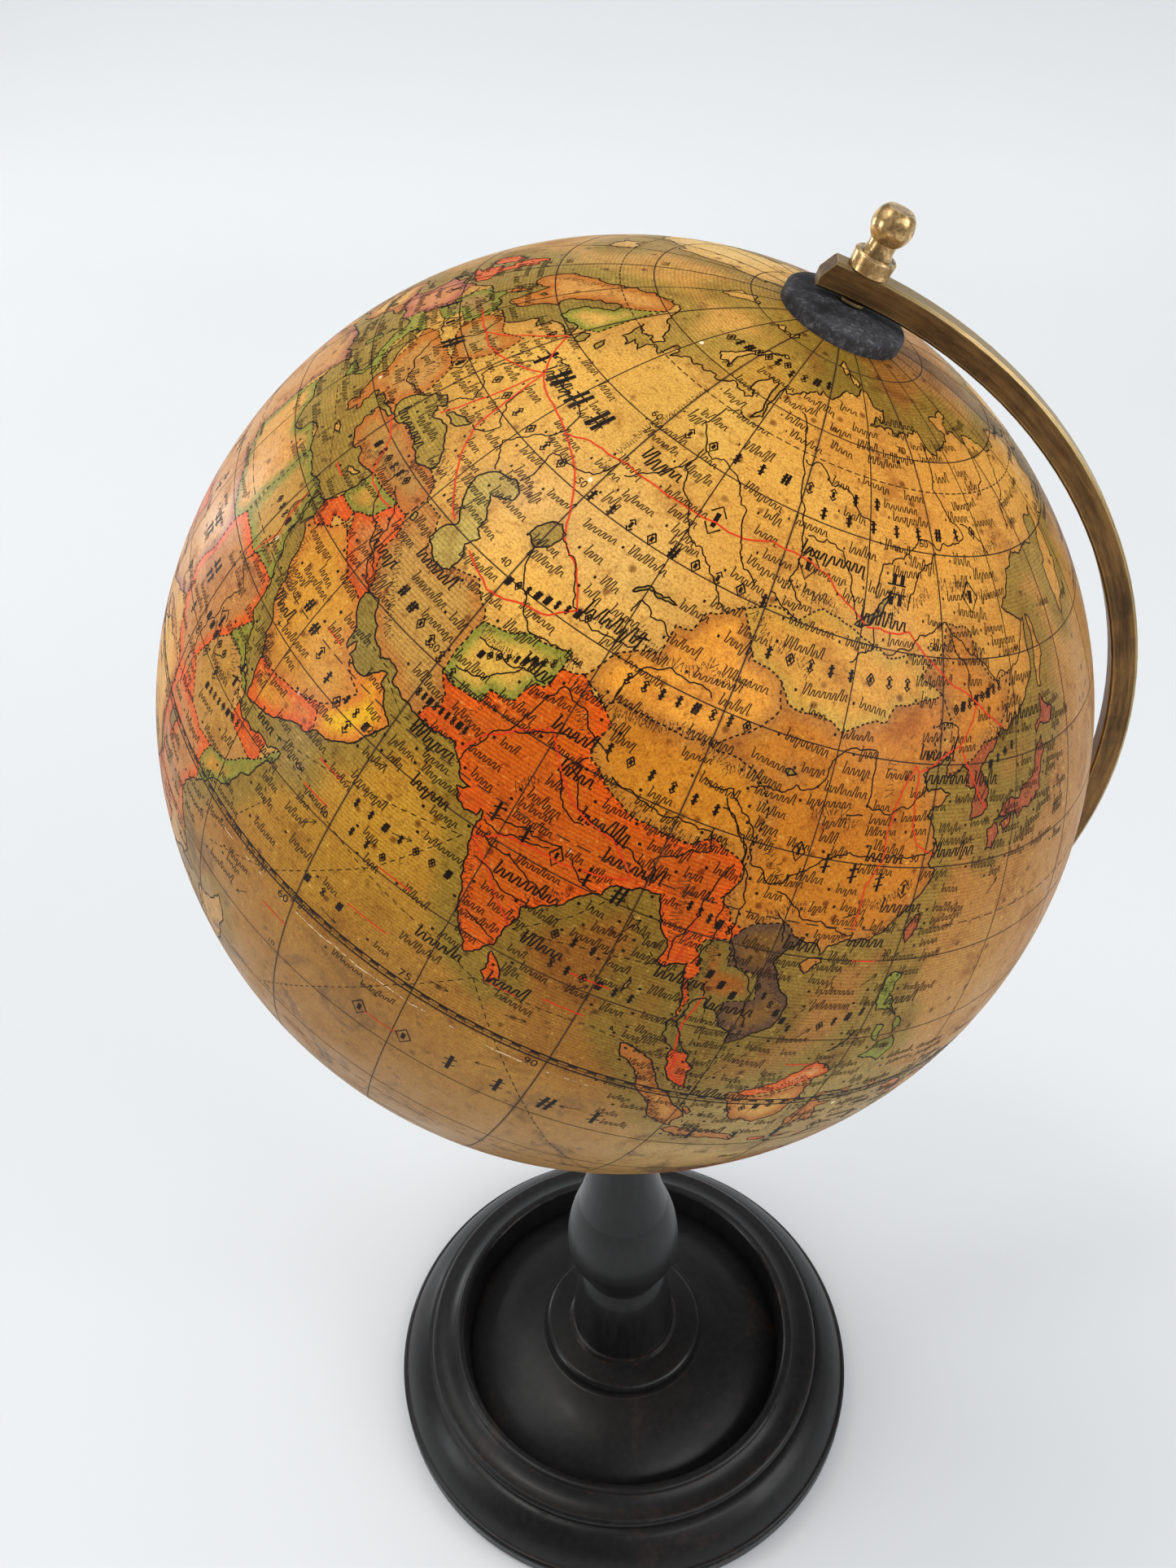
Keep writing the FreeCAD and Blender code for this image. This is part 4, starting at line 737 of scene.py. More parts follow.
RIVERS = [path(text) for text in (
    # Volga
    "32 57, 34 57.5, 38 58, 43.5 56.3, 48.5 55.7, 49.6 53.5, 48.3 51.8, 46 50, 44.6 48.5, 47.8 46.2",
    "60 54.5, 58.5 52.2, 55.5 51.5, 51.4 51.2, 51.6 47.1",
    "38.5 53, 39.2 50.8, 42.3 49.2, 41 47.5, 39.2 47.2",
    "33 55.5, 31 53, 31 50.4, 35 48.5, 33 46.5", "12 48.4, 17 48.1, 19 46, 21.5 44.7, 27 44, 29.5 45.3",
    # Ob
    "87.5 51.5, 85 52.5, 83.5 53.8, 82.8 55, 81.5 57.8, 77 60.5, 69.5 61, 65.5 63.5, 66.5 66.3, 72 66.6",
    "85.6 48, 82.5 50, 76.5 52.4, 73.3 55, 68.5 58.3, 69 61", "62 54, 66 56.5, 68.2 58.2",
    "95 51.5, 92 53.5, 92.8 56, 92 58.5, 89.5 62, 87.5 66, 86 69.5, 83 71",       # Yenisei
    "104 52, 102 56, 100 58, 93 58.2", "106 62, 100 64.2, 95 64.5, 88.3 65.8",
    "107 54.5, 108 58, 115 60.3, 121 60.5, 129.5 62, 126.5 64, 124 67, 127 72",   # Lena
    "113 54, 117 58.5, 120.5 60.2", "136 60, 133 62.5, 129.7 63.3", "141 66, 147 68, 150 71",
    "147 62, 154 66, 161 69",
    "109.5 49.5, 114 50.5, 121 53.4, 127 50.2, 131 47.8, 135 48.5, 140.5 53",     # Amur
    "96 34.6, 101 36, 103.5 36.3, 107 40.5, 110.5 40.5, 110.4 35.6, 114 35, 118.9 37.5",   # Hwang-ho
    "91 34, 97 32, 99 28, 102 26.5, 106.5 29.5, 111 30.7, 114.3 30.6, 117 31, 121 31.8",   # Yangtze
    "103 26, 107 23.8, 111 23.4, 113.3 22.8", "94 33, 98 29, 100 22.5, 102 18, 105 15, 106 11",
    "94 32, 98.8 27, 98 22, 97.6 16.8", "97.5 27.5, 96 23, 95 19, 95.3 16.5",
    "82 30.5, 88 29.3, 94 29.6, 94.8 28, 91 26.2, 89.6 25.3, 90.3 22.8",          # Brahmaputra
    "79 31, 78 29.5, 80.5 26.5, 85 25.6, 88 24.5, 90 23", "78 30, 77.2 28.6, 78.5 26.6, 81.8 25.4",
    "81 31.5, 76 34.6, 73 35.3, 71.8 33, 70.5 29.3, 68 26, 67.8 24", "77 32, 74 31, 71 29.5",
    "81 22.7, 77 22.6, 73 21.7", "80 22, 77 21.3, 73 21.1", "73.8 19.8, 78 19, 81.5 17.3",
    "74 17.5, 78 16, 80.8 15.9",
    "75.8 12.3, 78 11.5, 79.6 10.9", "82.5 22, 84 20.5, 86 20.3",
    "73 37.5, 70 37.8, 66 37.4, 62 40.5, 60 43.5", "77.5 41.8, 72 40.7, 68.5 41.5, 65 45, 61.5 46.2",
    "68 34.5, 64.5 31.5, 61.8 31", "71 34.5, 68.5 34.5, 65 34.5, 62 34.3",
    "39.5 39.8, 38.5 37, 40.5 35, 43.5 33.2, 46 31.2, 48.2 30.1", "40 38, 43 36.5, 44.3 33.2, 47 31.5",
    "32 3, 31.8 8, 32.6 13, 32.5 15.6, 34 18.5, 31 20, 32.8 24, 31 27.5, 31.2 30, 31 31.3",   # Nile
    "37.3 12, 35.5 11, 33 15", "100 15.5, 100.4 13.7", "104 24, 105.7 21.2", "111.5 24.5, 113 25",
    "108 34.4, 110.2 34.6",
    "122 52, 125 49, 125.5 46, 130.5 47.5", "119 43.5, 123 43.5, 122 41", "78 36, 80 40.6, 85 41, 88 40.6",
    "74.6 44, 75 45.4", "80.5 43.8, 77 44.5, 75 45.4", "90 51.7, 95 50.2", "104 48, 107 49.5, 107 51.7",
    "14 50, 11 53.2, 9 53.8", "17 50, 15 52.5, 14.4 53.6", "20 50, 21 52.3, 18.8 54.2",
    "7.5 47.6, 7 50.5, 4.5 51.9",
    "26 4, 20 2, 17 -1, 15 -4.5, 12.5 -6", "-10 9, -4 14, 3 14, 6 6", "22 -12, 27 -17.8, 33 -16, 36 -18.8",
    "-110 45, -98 42, -91 38, -90 30", "-80 41, -88 37, -90 35", "-75 -5, -66 -3, -55 -2, -50 0",
    "-57 -18, -58 -27, -59 -34",
    "-114 60, -122 62, -134 68.8", "-150 65, -162 62.5", "148 -36, 142 -34, 139.5 -35.5",
)]

RANGES = [path(text) for text in (
    "73 36.2, 76.5 33.6, 79.5 31.2, 83 29.2, 87 28.1, 91.5 28.2, 95.5 29.2",
    "75 36.6, 79 35.6, 84 36.2, 90 36.3, 96 35.5",
    "70 36, 73.4 37.4", "69.5 41.5, 74 42.3, 79.5 42.3, 86 43.4, 92 43", "86 50.5, 90 48.8, 95 47, 99 45.4",
    "91 53, 97 53, 101 52", "108 52.6, 113 55.2, 118 56.2", "120 57, 127 56, 133 56.5",
    "131 60, 136 60.6, 142 62",
    "119.6 47, 120.6 50, 122 52.6", "127.5 41.5, 130 44.5", "60 67, 59.4 62, 58.6 57.5, 59.2 53.2",
    "40 43.6, 44 42.8, 48 41.3", "45.5 37, 48.4 33.5, 51 31, 54.5 28.6", "50 36.4, 54 36.5, 58 37.2",
    "61 35.6, 66 34.8, 70 35.6",
    "67 31, 66.5 28, 67 26", "73.6 20, 74 16.6, 75.3 13, 77 9.6", "79.6 13.5, 80.6 17, 84 19.2",
    "74 25.4, 76 27",
    "93.5 25, 94 21, 94.6 18", "98.5 25, 98.8 20, 98.8 16, 99.2 12", "104.6 20, 107 16, 108.4 13",
    "100.5 30.5, 102.5 27",
    "104 34, 110 33.6", "112.5 40, 113.4 36.4", "113 26, 117 27, 119.4 28.6", "103 23.6, 107 25.2",
    "30 37.2, 35 38.2, 40 39.2", "36.2 33.2, 36.4 36", "36.6 28, 39.6 23.6, 42 19, 44 15",
    "38 9, 40 12, 37.6 14.6",
    "33.4 24, 34 27.6", "20 49.2, 24 47.6, 26 45.6", "6 44.6, 8 46.4, 13 47", "-1 42.8, 2 42.4",
    "7 60, 11 63, 16 67.6",
    "-120 50, -114 46, -107 39, -105 33", "-78 0, -77 -9, -69 -17, -70 -30, -72 -45",
    "146 -37, 150 -32, 146 -20",
    "29 -29, 31 -25", "-6 32, 4 35", "142 43.2, 143 43.4", "137.6 35.4, 138.4 36.8", "137 -4, 143 -6",
    "114 1, 117 4.6", "98.4 2.6, 101 -1.4, 103.4 -4.4", "121 17.6, 120.6 15.6", "150 62, 156 65, 165 66",
)]

RAILWAYS = [path(text) for text in (
    "30 59.7, 37 55.6, 43 54.4, 50 53.3, 56 54.7, 61.4 55.1, 68 55, 73.3 55, 78 55.2, 83 55.1, 87.5 56.2,"
    "92.8 56, 98 55.2, 104.2 52.4, 106 51.6, 110 51.6, 113.4 52, 117.6 49.6, 122 47.4, 126.6 45.8, "
    "131.8 43.3",
    "30 59.7, 26 56, 23.6 53.8, 21 52.4", "37 55.6, 31 53.4, 25 52.2, 21 52.4, 17 52.3, 13.5 52.4",
    "126.6 45.8, 125.2 43.6, 123.5 41.8, 119.4 40, 117 39.2, 116.4 39.8",
    "116.4 39.8, 114.4 36, 114 33, 114.3 30.6",
    "117 39.2, 117 36.6, 117.4 34, 118.6 32.2, 121.3 31.2", "123.5 41.8, 124.6 40.2, 127 37.6, 129 35.3",
    "114.3 30.6, 113 28, 113.2 25, 113.3 23.2",
    "50 53.3, 55 51.8, 58 50, 62 46, 66 44.4, 69.2 41.4, 66.8 39.6,"
    "63.6 39, 59 37.9, 54 39.4",
    "67 24.9, 68.6 27.6, 71.6 30, 74.3 31.5, 77.2 28.7, 80.3 26.5, 85 25.4, 88.4 22.8",
    "72.9 19, 76 21, 79 21.2, 84 21.6, 88.2 22.6", "72.9 19, 76 17, 78.4 14.6, 80.2 13.1",
    "37 55.6, 38.6 51.6, 39.6 47.4,"
    "44 43.6, 49.6 40.4", "37 55.6, 36 50, 34 45.2", "29.2 41, 33 39.8, 35.4 37, 37.2 36.3, 43 36.4",
    "31.2 30, 32.6 25, 31.4 21.6",
    "96.2 16.9, 96 22", "100.5 13.8, 99.8 10, 100.5 6.8, 101.6 3.2, 103.8 1.4",
)]

ROUTES = [path(text) for text in (
    "33 28.4, 37 22, 41 15.4, 43.4 12.4, 50 12.9, 60 15.6, 72 18.6",
    "50 12.9, 58 10.8, 66 9, 75 7.4, 79.6 5.8",
    "79.6 5.8, 86 6, 92 6.4, 95.2 6, 99 4.4, 103 1.2", "79.6 5.8, 84 0, 90 -8, 96 -16, 104 -24, 114 -32",
    "79.6 5.8, 73 -1, 66 -9, 58 -19", "80.6 13, 85 17, 88.2 21", "80.6 13, 88 14.6, 95.6 15.8",
    "88.4 21, 92 18, 94.6 15.6",
    "104.4 1.2, 107 6, 110 11, 113 17, 114.2 21.8", "104.4 1.2, 105.6 7, 106.8 10",
    "104.4 1.2, 103 6, 101 13",
    "114.2 22, 118 24, 121 27.6, 123 31", "123 31, 127 32.4, 129.4 32.6", "50 12.9, 52 6, 48 -1, 42 -5",
    "72 18.6, 66 10, 56 0, 46 -6",
    "56.6 25.8, 60 24.2, 66.6 24.4", "52 27, 56 26.4", "103 1.2, 106 -3, 107 -5.6", "30 45, 29.4 42",
    "30.6 33, 24 35, 15.6 36",
)]


# ---- the map's geometry ----
def globe_points(lon_lat, lift=0.0):
    """Places on the ball for rows of longitude and latitude."""
    turn = np.radians(np.asarray(lon_lat, float)[:, 0] - ARM_LONGITUDE)
    north = np.radians(np.asarray(lon_lat, float)[:, 1])
    outward = (np.sin(north)[:, None] * POLE
               + (np.cos(north) * np.cos(turn))[:, None] * UNDER_ARM
               + (np.cos(north) * np.sin(turn))[:, None] * EAST)
    return CENTRE + (BALL_RADIUS + lift) * outward


def closer(line, longest, closed=False, rough=0.0):
    """The line with points at most `longest` degrees apart, strayed sideways like a coast."""
    ends = line + line[:1] if closed else line
    out = [ends[0]]
    for start, end in zip(ends, ends[1:]):
        out += between(start, end, longest, rough)
    return out[:-1] if closed else out


def between(start, end, longest, rough):
    """Points after `start` up to `end`; the same whichever end comes first."""
    shrink = max(0.12, math.cos(math.radians((start[1] + end[1]) / 2)))
    length = math.hypot((end[0] - start[0]) * shrink, end[1] - start[1])
    if length <= longest:
        return [end]
    first, last = sorted((start, end))
    stray = rough * length * random.Random("%.3f %.3f %.3f %.3f" % (first + last)).uniform(-1, 1)
    middle = ((first[0] + last[0]) / 2 - stray * (last[1] - first[1]) / length,
              (first[1] + last[1]) / 2 + stray * (last[0] - first[0]) / length)
    return between(start, middle, longest, rough) + between(middle, end, longest, rough)


def area(ring):
    """Area in square degrees, positive when the ring runs anticlockwise."""
    return sum(a[0] * b[1] - b[0] * a[1] for a, b in zip(ring, ring[1:] + ring[:1])) / 2


def wrapped(ring):
    """A ring counted anticlockwise, with a copy a turn away if it crosses the date line."""
    ring = ring if area(ring) > 0 else ring[::-1]
    out = [ring]
    if max(point[0] for point in ring) > 180:
        out.append([(point[0] - 360, point[1]) for point in ring])
    return out


def flat_map():
    """Triangles of the whole map and the region of each: -1 sea, 0 bare land, else the country."""
    rings = []
    for kind, group, longest, rough in (("land", LAND, COAST_STEP, 0.16), ("water", WATER, COAST_STEP, 0.14),
                                        ("country", [c[3] for c in COUNTRIES], 0.9, 0.08)):
        for number, ring in enumerate(group):
            rings += [(kind, number, copy) for copy in wrapped(closer(ring, longest, True, rough))]
    points = []
    walls = []
    for _, _, ring in rings:
        first = len(points)
        points += ring
        walls += [(first + at, first + (at + 1) % len(ring)) for at in range(len(ring))]
    rows = np.arange(-GORE_END, GORE_END + GRID / 2, GRID)
    for column, east in enumerate(np.arange(-180, 180 + GRID / 2, GRID)):
        first = len(points)
        points += [(float(east), float(north)) for north in rows]
        if column % round(GORE_SPAN / GRID) == 0:
            walls += [(first + row, first + row + 1) for row in range(len(rows) - 1)]
    flat, edges, triangles, _, sources, _ = delaunay_2d_cdt(
        [Vector(point) for point in points], walls, [], 0, 1e-7)
    flat = np.array([tuple(point) for point in flat])
    triangles = np.array(triangles)
    middle = flat[triangles].mean(axis=1)
    triangles = triangles[(np.abs(middle[:, 0]) < 180) & (np.abs(middle[:, 1]) < GORE_END)]
    walled = np.array([edge for edge, source in zip(edges, sources) if source])
    return flat, triangles, regions(flat, triangles, patches(triangles, walled), rings)


def shared_edges(triangles):
    """Edges between two triangles, with the numbers of both."""
    edges = np.sort(np.vstack([triangles[:, [0, 1]], triangles[:, [1, 2]], triangles[:, [2, 0]]]), axis=1)
    owner = np.tile(np.arange(len(triangles)), 3)
    order = np.lexsort((edges[:, 1], edges[:, 0]))
    edges = edges[order]
    owner = owner[order]
    pair = np.flatnonzero((edges[:-1] == edges[1:]).all(axis=1))
    return edges[pair], np.stack([owner[pair], owner[pair + 1]], axis=1)


def patches(triangles, walled):
    """A number for each triangle, the same for those that no drawn line parts."""
    edges, pairs = shared_edges(triangles)
    size = int(triangles.max()) + 1
    keys = np.sort(walled, axis=1) @ (size, 1)
    first, second = pairs[~np.isin(edges @ (size, 1), keys)].T
    label = np.arange(len(triangles))
    while True:
        low = np.minimum(label[first], label[second])
        lower = label.copy()
        np.minimum.at(lower, label[first], low)
        np.minimum.at(lower, label[second], low)
        lower = lower[lower[lower]]
        if (lower == label).all():
            return label
        label = lower


def inside(point, ring):
    """Whether a point is inside a ring."""
    start = np.array(ring)
    end = np.roll(start, -1, axis=0)
    crosses = (start[:, 1] > point[1]) != (end[:, 1] > point[1])
    start = start[crosses]
    end = end[crosses]
    share = (point[1] - start[:, 1]) / (end[:, 1] - start[:, 1])
    return np.count_nonzero(start[:, 0] + share * (end[:, 0] - start[:, 0]) > point[0]) % 2 == 1


def regions(flat, triangles, label, rings):
    """The region of each triangle, asked once for every patch at its largest triangle."""
    corners = flat[triangles]
    spans = corners[:, 1:] - corners[:, :1]
    sizes = np.abs(spans[:, 0, 0] * spans[:, 1, 1] - spans[:, 0, 1] * spans[:, 1, 0])
    order = np.lexsort((-sizes, label))
    names, first = np.unique(label[order], return_index=True)
    found = {}
    for name, row in zip(names, order[first]):
        point = corners[row].mean(axis=0)
        owned = [(kind, number) for kind, number, ring in rings if inside(point, ring)]
        on_land = any(kind == "land" for kind, _ in owned) and not any(kind == "water" for kind, _ in owned)
        countries = [number + 1 for kind, number in owned if kind == "country"]
        found[name] = max(countries, default=0) if on_land else -1
    return np.array([found[name] for name in label])


def blended(tones, lon_lat):
    """Colour at each place from the listed tones, nearer ones counting for more."""
    spots = globe_points([tone[:2] for tone in tones])
    colors = np.array([tone[2] for tone in tones])
    places = globe_points(lon_lat)
    apart = np.linalg.norm(places[:, None, :] - spots[None], axis=2) / BALL_RADIUS + 0.03
    weight = apart ** -3.5
    return (weight @ colors) / weight.sum(axis=1)[:, None]


def border_edges(triangles, region):
    """Edges with a different region on each side, with the two regions."""
    edges, pairs = shared_edges(triangles)
    sides = region[pairs]
    parted = sides[:, 0] != sides[:, 1]
    return edges[parted], np.sort(sides[parted], axis=1)


def chained(edges, flat):
    """Edges joined end to end into long lines of (longitude, latitude)."""
    beside = {}
    for number, (first, last) in enumerate(edges):
        beside.setdefault(int(first), []).append((number, int(last)))
        beside.setdefault(int(last), []).append((number, int(first)))
    used = set()
    lines = []
    starts = [at for at, links in beside.items() if len(links) != 2] + list(beside)
    for start in starts:
        for number, following in beside[start]:
            if number in used:
                continue
            used.add(number)
            walk = [start, following]
            while len(beside[walk[-1]]) == 2:
                ahead = [link for link in beside[walk[-1]] if link[0] not in used]
                if not ahead:
                    break
                used.add(ahead[0][0])
                walk.append(ahead[0][1])
            lines.append([tuple(flat[at]) for at in walk])
    return lines


def shore_distance(flat, edges):
    """Degrees from every map point to the nearest border or coast."""
    on_ball = globe_points(flat)
    ends = on_ball[edges]
    marks = np.vstack([ends[:, 0], ends[:, 1], ends.mean(axis=1)])
    tree = kdtree.KDTree(len(marks))
    for number, mark in enumerate(marks):
        tree.insert(mark, number)
    tree.balance()
    near = np.array([tree.find(place)[2] for place in on_ball])
    return np.degrees(near / BALL_RADIUS)


def lay_gores(flat, triangles, region, shore, material):
    """One sheet of printed paper for each gore, coloured by region."""
    sea = blended(SEA_TONES_AND_SHEEN, flat)
    land = blended(LAND_TONES_AND_SHEEN, flat)
    tints = np.array([(0, 0, 0, 0)] + [country[0] for country in COUNTRIES])
    edges = np.array([(0, 0, 0, 0)] + [country[2] for country in COUNTRIES])
    hatches = np.array([0.25] + [country[1] for country in COUNTRIES])
    sea_edge = 0.35 * sea + 0.65 * np.array(linear(122, 112, 46))
    east = flat[triangles].mean(axis=1)[:, 0]
    for number, name in enumerate(GORES):
        west = FIRST_GORE_WEST + number * GORE_SPAN
        mine = np.flatnonzero((east > west) & (east < west + GORE_SPAN))
        used, faces = np.unique(triangles[mine], return_inverse=True)
        faces = faces.reshape(-1, 3)
        mesh = bpy.data.meshes.new("print_" + name)
        mesh.from_pydata(globe_points(flat[used]).tolist(), [], faces.tolist())
        corner_place = used[faces.ravel()]
        corner_region = np.repeat(region[mine], 3)
        tint = np.where((corner_region == -1)[:, None], sea[corner_place], land[corner_place])
        trim = np.where((corner_region == -1)[:, None], sea_edge[corner_place], 0.86 * land[corner_place])
        owned = corner_region > 0
        tint[owned] = tints[corner_region[owned]]
        trim[owned] = edges[corner_region[owned]]
        tint[:, 3] = np.where(corner_region == -1, 0.8, hatches[np.maximum(corner_region, 0)])
        trim[:, 3] = corner_region == -1
        for key, values in (("tint", tint), ("trim", trim)):
            layer = mesh.attributes.new(key, "FLOAT_COLOR", "CORNER")
            layer.data.foreach_set("color", values.astype(np.float32).ravel())
        layer = mesh.attributes.new("shore", "FLOAT", "POINT")
        layer.data.foreach_set("value", shore[used].astype(np.float32))
        from_seam = np.minimum(flat[used, 0] - west, west + GORE_SPAN - flat[used, 0])
        from_seam = from_seam * np.cos(np.radians(flat[used, 1])) * MM_PER_DEGREE
        spot = np.stack([flat[used, 0], flat[used, 1], from_seam], axis=1)
        layer = mesh.attributes.new("spot", "FLOAT_VECTOR", "POINT")
        layer.data.foreach_set("vector", spot.astype(np.float32).ravel())
        as_piece("print_" + name, mesh, material, name)


def as_piece(name, mesh, material, replaced=None):
    """A piece of the ball's surface that turns with it, shaded as part of the sphere."""
    mesh.shade_smooth()
    places = np.array([vertex.co for vertex in mesh.vertices]) - CENTRE
    mesh.normals_split_custom_set_from_vertices(
        (places / np.linalg.norm(places, axis=1)[:, None]).tolist())
    mesh.materials.append(material)
    piece = bpy.data.objects.new(name, mesh)
    bpy.context.scene.collection.objects.link(piece)
    if replaced:
        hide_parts(replaced)
    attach(piece, "globe")
    return piece


# ---- ink lines ----
NAME_STROKE = 0.27       # degrees from one stroke of a small name to the next


def ribbons(name, lines, width, material, lift=INK_LIFT):
    """Flat ribbons along lines of (longitude, latitude); width is in millimetres."""
    places = []
    faces = []
    for line in lines:
        if len(line) < 2:
            continue
        middle = globe_points(line, lift)
        outward = (middle - CENTRE) / (BALL_RADIUS + lift)
        ahead = np.gradient(middle, axis=0)
        side = np.cross(outward, ahead)
        side /= np.maximum(np.linalg.norm(side, axis=1), 1e-12)[:, None]
        half = 0.5 * MM * (width if np.ndim(width) == 0 else np.asarray(width))
        first = len(places)
        for at, across in zip(middle, side):
            places += [tuple(at - half * across), tuple(at + half * across)]
        faces += [(first + 2 * k, first + 2 * k + 2, first + 2 * k + 3, first + 2 * k + 1)
                  for k in range(len(line) - 1)]
    mesh = bpy.data.meshes.new(name)
    mesh.from_pydata(places, [], faces)
    return as_piece(name, mesh, material)


def dashes(line, drawn, blank):
    """The line cut into dashes; lengths in degrees of longitude and latitude."""
    out = [[line[0]]]
    pen_down = True
    left = drawn
    for start, end in zip(line, line[1:]):
        at = start
        length = math.dist(start, end)
        while length > left:
            share = left / length
            at = (at[0] + (end[0] - at[0]) * share, at[1] + (end[1] - at[1]) * share)
            length -= left
            if pen_down:
                out[-1].append(at)
            else:
                out.append([at])
            pen_down = not pen_down
            left = drawn if pen_down else blank
        left -= length
        if pen_down:
            out[-1].append(end)
    return [dash for dash in out if len(dash) > 1]


def parallel(north, west=-180, east=180, step=1.5):
    """Points along a parallel."""
    count = max(2, round((east - west) / step) + 1)
    return [(float(at), north) for at in np.linspace(west, east, count)]


def graticule():
    """Meridians each fifteen degrees, parallels each ten, from edge to edge of the gores."""
    lines = [closer([(float(east), -84.0), (float(east), 84.0)], 1.5) for east in range(-180, 180, 15)]
    lines += [parallel(float(north)) for north in range(-80, 90, 10) if north]
    return lines


def dashed_circles():
    """Dashes of the two tropics and the two polar circles."""
    return [dash for north in (23.45, -23.45, 66.55, -66.55) for dash in dashes(parallel(north), 1.5, 0.8)]


def equator_scale():
    """The equator's double line with a tick at each degree and longer ones at fives."""
    lines = [parallel(0.0)]
    for east in range(-180, 180):
        tall = 0.42 if east % 5 == 0 else 0.0
        lines.append([(float(east), -0.42), (float(east), tall)])
    return lines


def equator_rails():
    """The two heavy lines that edge the scale."""
    return [parallel(0.42), parallel(-0.42)]


def equator_blocks():
    """Every other degree inked solid along the equator, as on a scale bar."""
    return [[(float(east), 0.21), (float(east + 1), 0.21)] for east in range(-180, 180, 2)]


def numerals(material):
    """Degree numbers along the equator and up two meridians."""
    places = []
    faces = []

    def lay(text, east, north, height):
        """Put one number on the ball."""
        curve = bpy.data.curves.new("digits", "FONT")
        curve.body = text
        curve.align_x = "CENTER"
        curve.align_y = "CENTER"
        curve.size = height
        holder = bpy.data.objects.new("digits", curve)
        mesh = holder.to_mesh()
        first = len(places)
        shrink = math.cos(math.radians(north))
        flat_places = [(east + v.co.x / shrink, north + v.co.y) for v in mesh.vertices]
        places.extend(globe_points(flat_places, INK_LIFT).tolist())
        faces.extend([tuple(first + at for at in face.vertices) for face in mesh.polygons])
        holder.to_mesh_clear()
        bpy.data.objects.remove(holder)
        bpy.data.curves.remove(curve)

    for east in range(-165, 180, 15):
        if east % 30:
            lay(str(abs(east)), east - 1.3, 1.3, 1.5)
        else:
            lay(str(abs(east)), east - 1.4, -1.35, 1.5)
    for east in (-90, 0, 60, 120):
        for north in range(-70, 80, 10):
            if north:
                lay(str(abs(north)), east - 1.2 / math.cos(math.radians(north)), north + 0.9, 1.1)
    mesh = bpy.data.meshes.new("numerals")
    mesh.from_pydata(places, [], faces)
    return as_piece("numerals", mesh, material)


def hachures(rng):
    """Short strokes down both sides of every mountain range."""
    lines = []
    for spine in RANGES:
        walk = closer(spine, 0.5, rough=0.18)
        for start, end in zip(walk, walk[1:]):
            length = math.dist(start, end) or 1.0
            across = (-(end[1] - start[1]) / length, (end[0] - start[0]) / length)
            for side in (-1, 1):
                reach = side * rng.uniform(0.25, 0.65)
                near = side * 0.06
                lean = rng.uniform(-0.15, 0.15)
                lines.append([(start[0] + across[0] * near, start[1] + across[1] * near),
                              (start[0] + across[0] * reach + lean, start[1] + across[1] * reach)])
    return lines


def squiggle(rng, east, north, letters, height, pitch=NAME_STROKE, slope=0.0):
    """A wave of square-shouldered strokes that stands for a name without spelling anything."""
    shrink = max(0.2, math.cos(math.radians(north)))
    line = []
    for stroke in range(2 * letters):
        if stroke % 2:
            rise = -0.55 if rng.random() < 0.10 else 0.0
        else:
            rise = 1.7 if stroke == 0 or rng.random() < 0.20 else rng.uniform(0.85, 1.0)
        first = (stroke + rng.uniform(-0.12, 0.12)) * pitch
        for along in (first, first + 0.62 * pitch):
            lean = along + 0.25 * height * rise
            line.append((east + lean / shrink, north + height * rise + slope * along))
    return line


def clear_places(rng, fields, taken):
    """Starts of names in the listed fields, each with room to its neighbours."""
    for west, east, south, north, count in fields:
        for _ in range(count):
            lon = rng.uniform(west, east)
            lat = rng.uniform(south, north)
            letters = rng.randint(4, 9)
            wide = 2 * letters * NAME_STROKE / max(0.2, math.cos(math.radians(lat)))
            if any(abs(lat - other[1]) < 1.05 and lon < other[0] + other[2] + 0.5
                   and other[0] < lon + wide + 0.5 for other in taken):
                continue
            taken.append((lon, lat, wide))
            yield lon, lat, letters


def small_names(rng, taken):
    """Town names, thick on settled land and sparse elsewhere, with a dot for each town."""
    fields = ((20, 50, 40, 60, 260), (50, 90, 38, 62, 170), (90, 135, 42, 66, 190), (30, 60, 14, 38, 190),
              (60, 78, 18, 38, 150), (74, 96, 8, 30, 420), (76, 100, 28, 40, 90), (100, 124, 18, 42, 420),
              (94, 112, 2, 20, 260), (95, 140, -9, 6, 220), (30, 52, -8, 14, 110), (60, 150, 62, 74, 70),
              (28, 38, 22, 32, 40), (124, 146, 28, 46, 160), (110, 126, 4, 22, 70), (-10, 20, 36, 58, 170),
              (78, 86, 4, 16, 60), (54, 72, -4, 16, 30), (-16, 40, -30, 34, 130), (-122, -70, 26, 58, 140),
              (-76, -40, -38, 6, 80), (115, 152, -36, -14, 60), (140, 180, 50, 70, 20))
    names = []
    dots = []
    for lon, lat, letters in clear_places(rng, fields, taken):
        height = rng.choice((0.52, 0.58, 0.66))
        names.append(squiggle(rng, lon, lat, letters, height, slope=rng.choice((0.0, 0.0, 0.1, -0.12))))
        if rng.random() < 0.7:
            dots.append((lon - 0.6, lat + 0.2))
    return names, dots


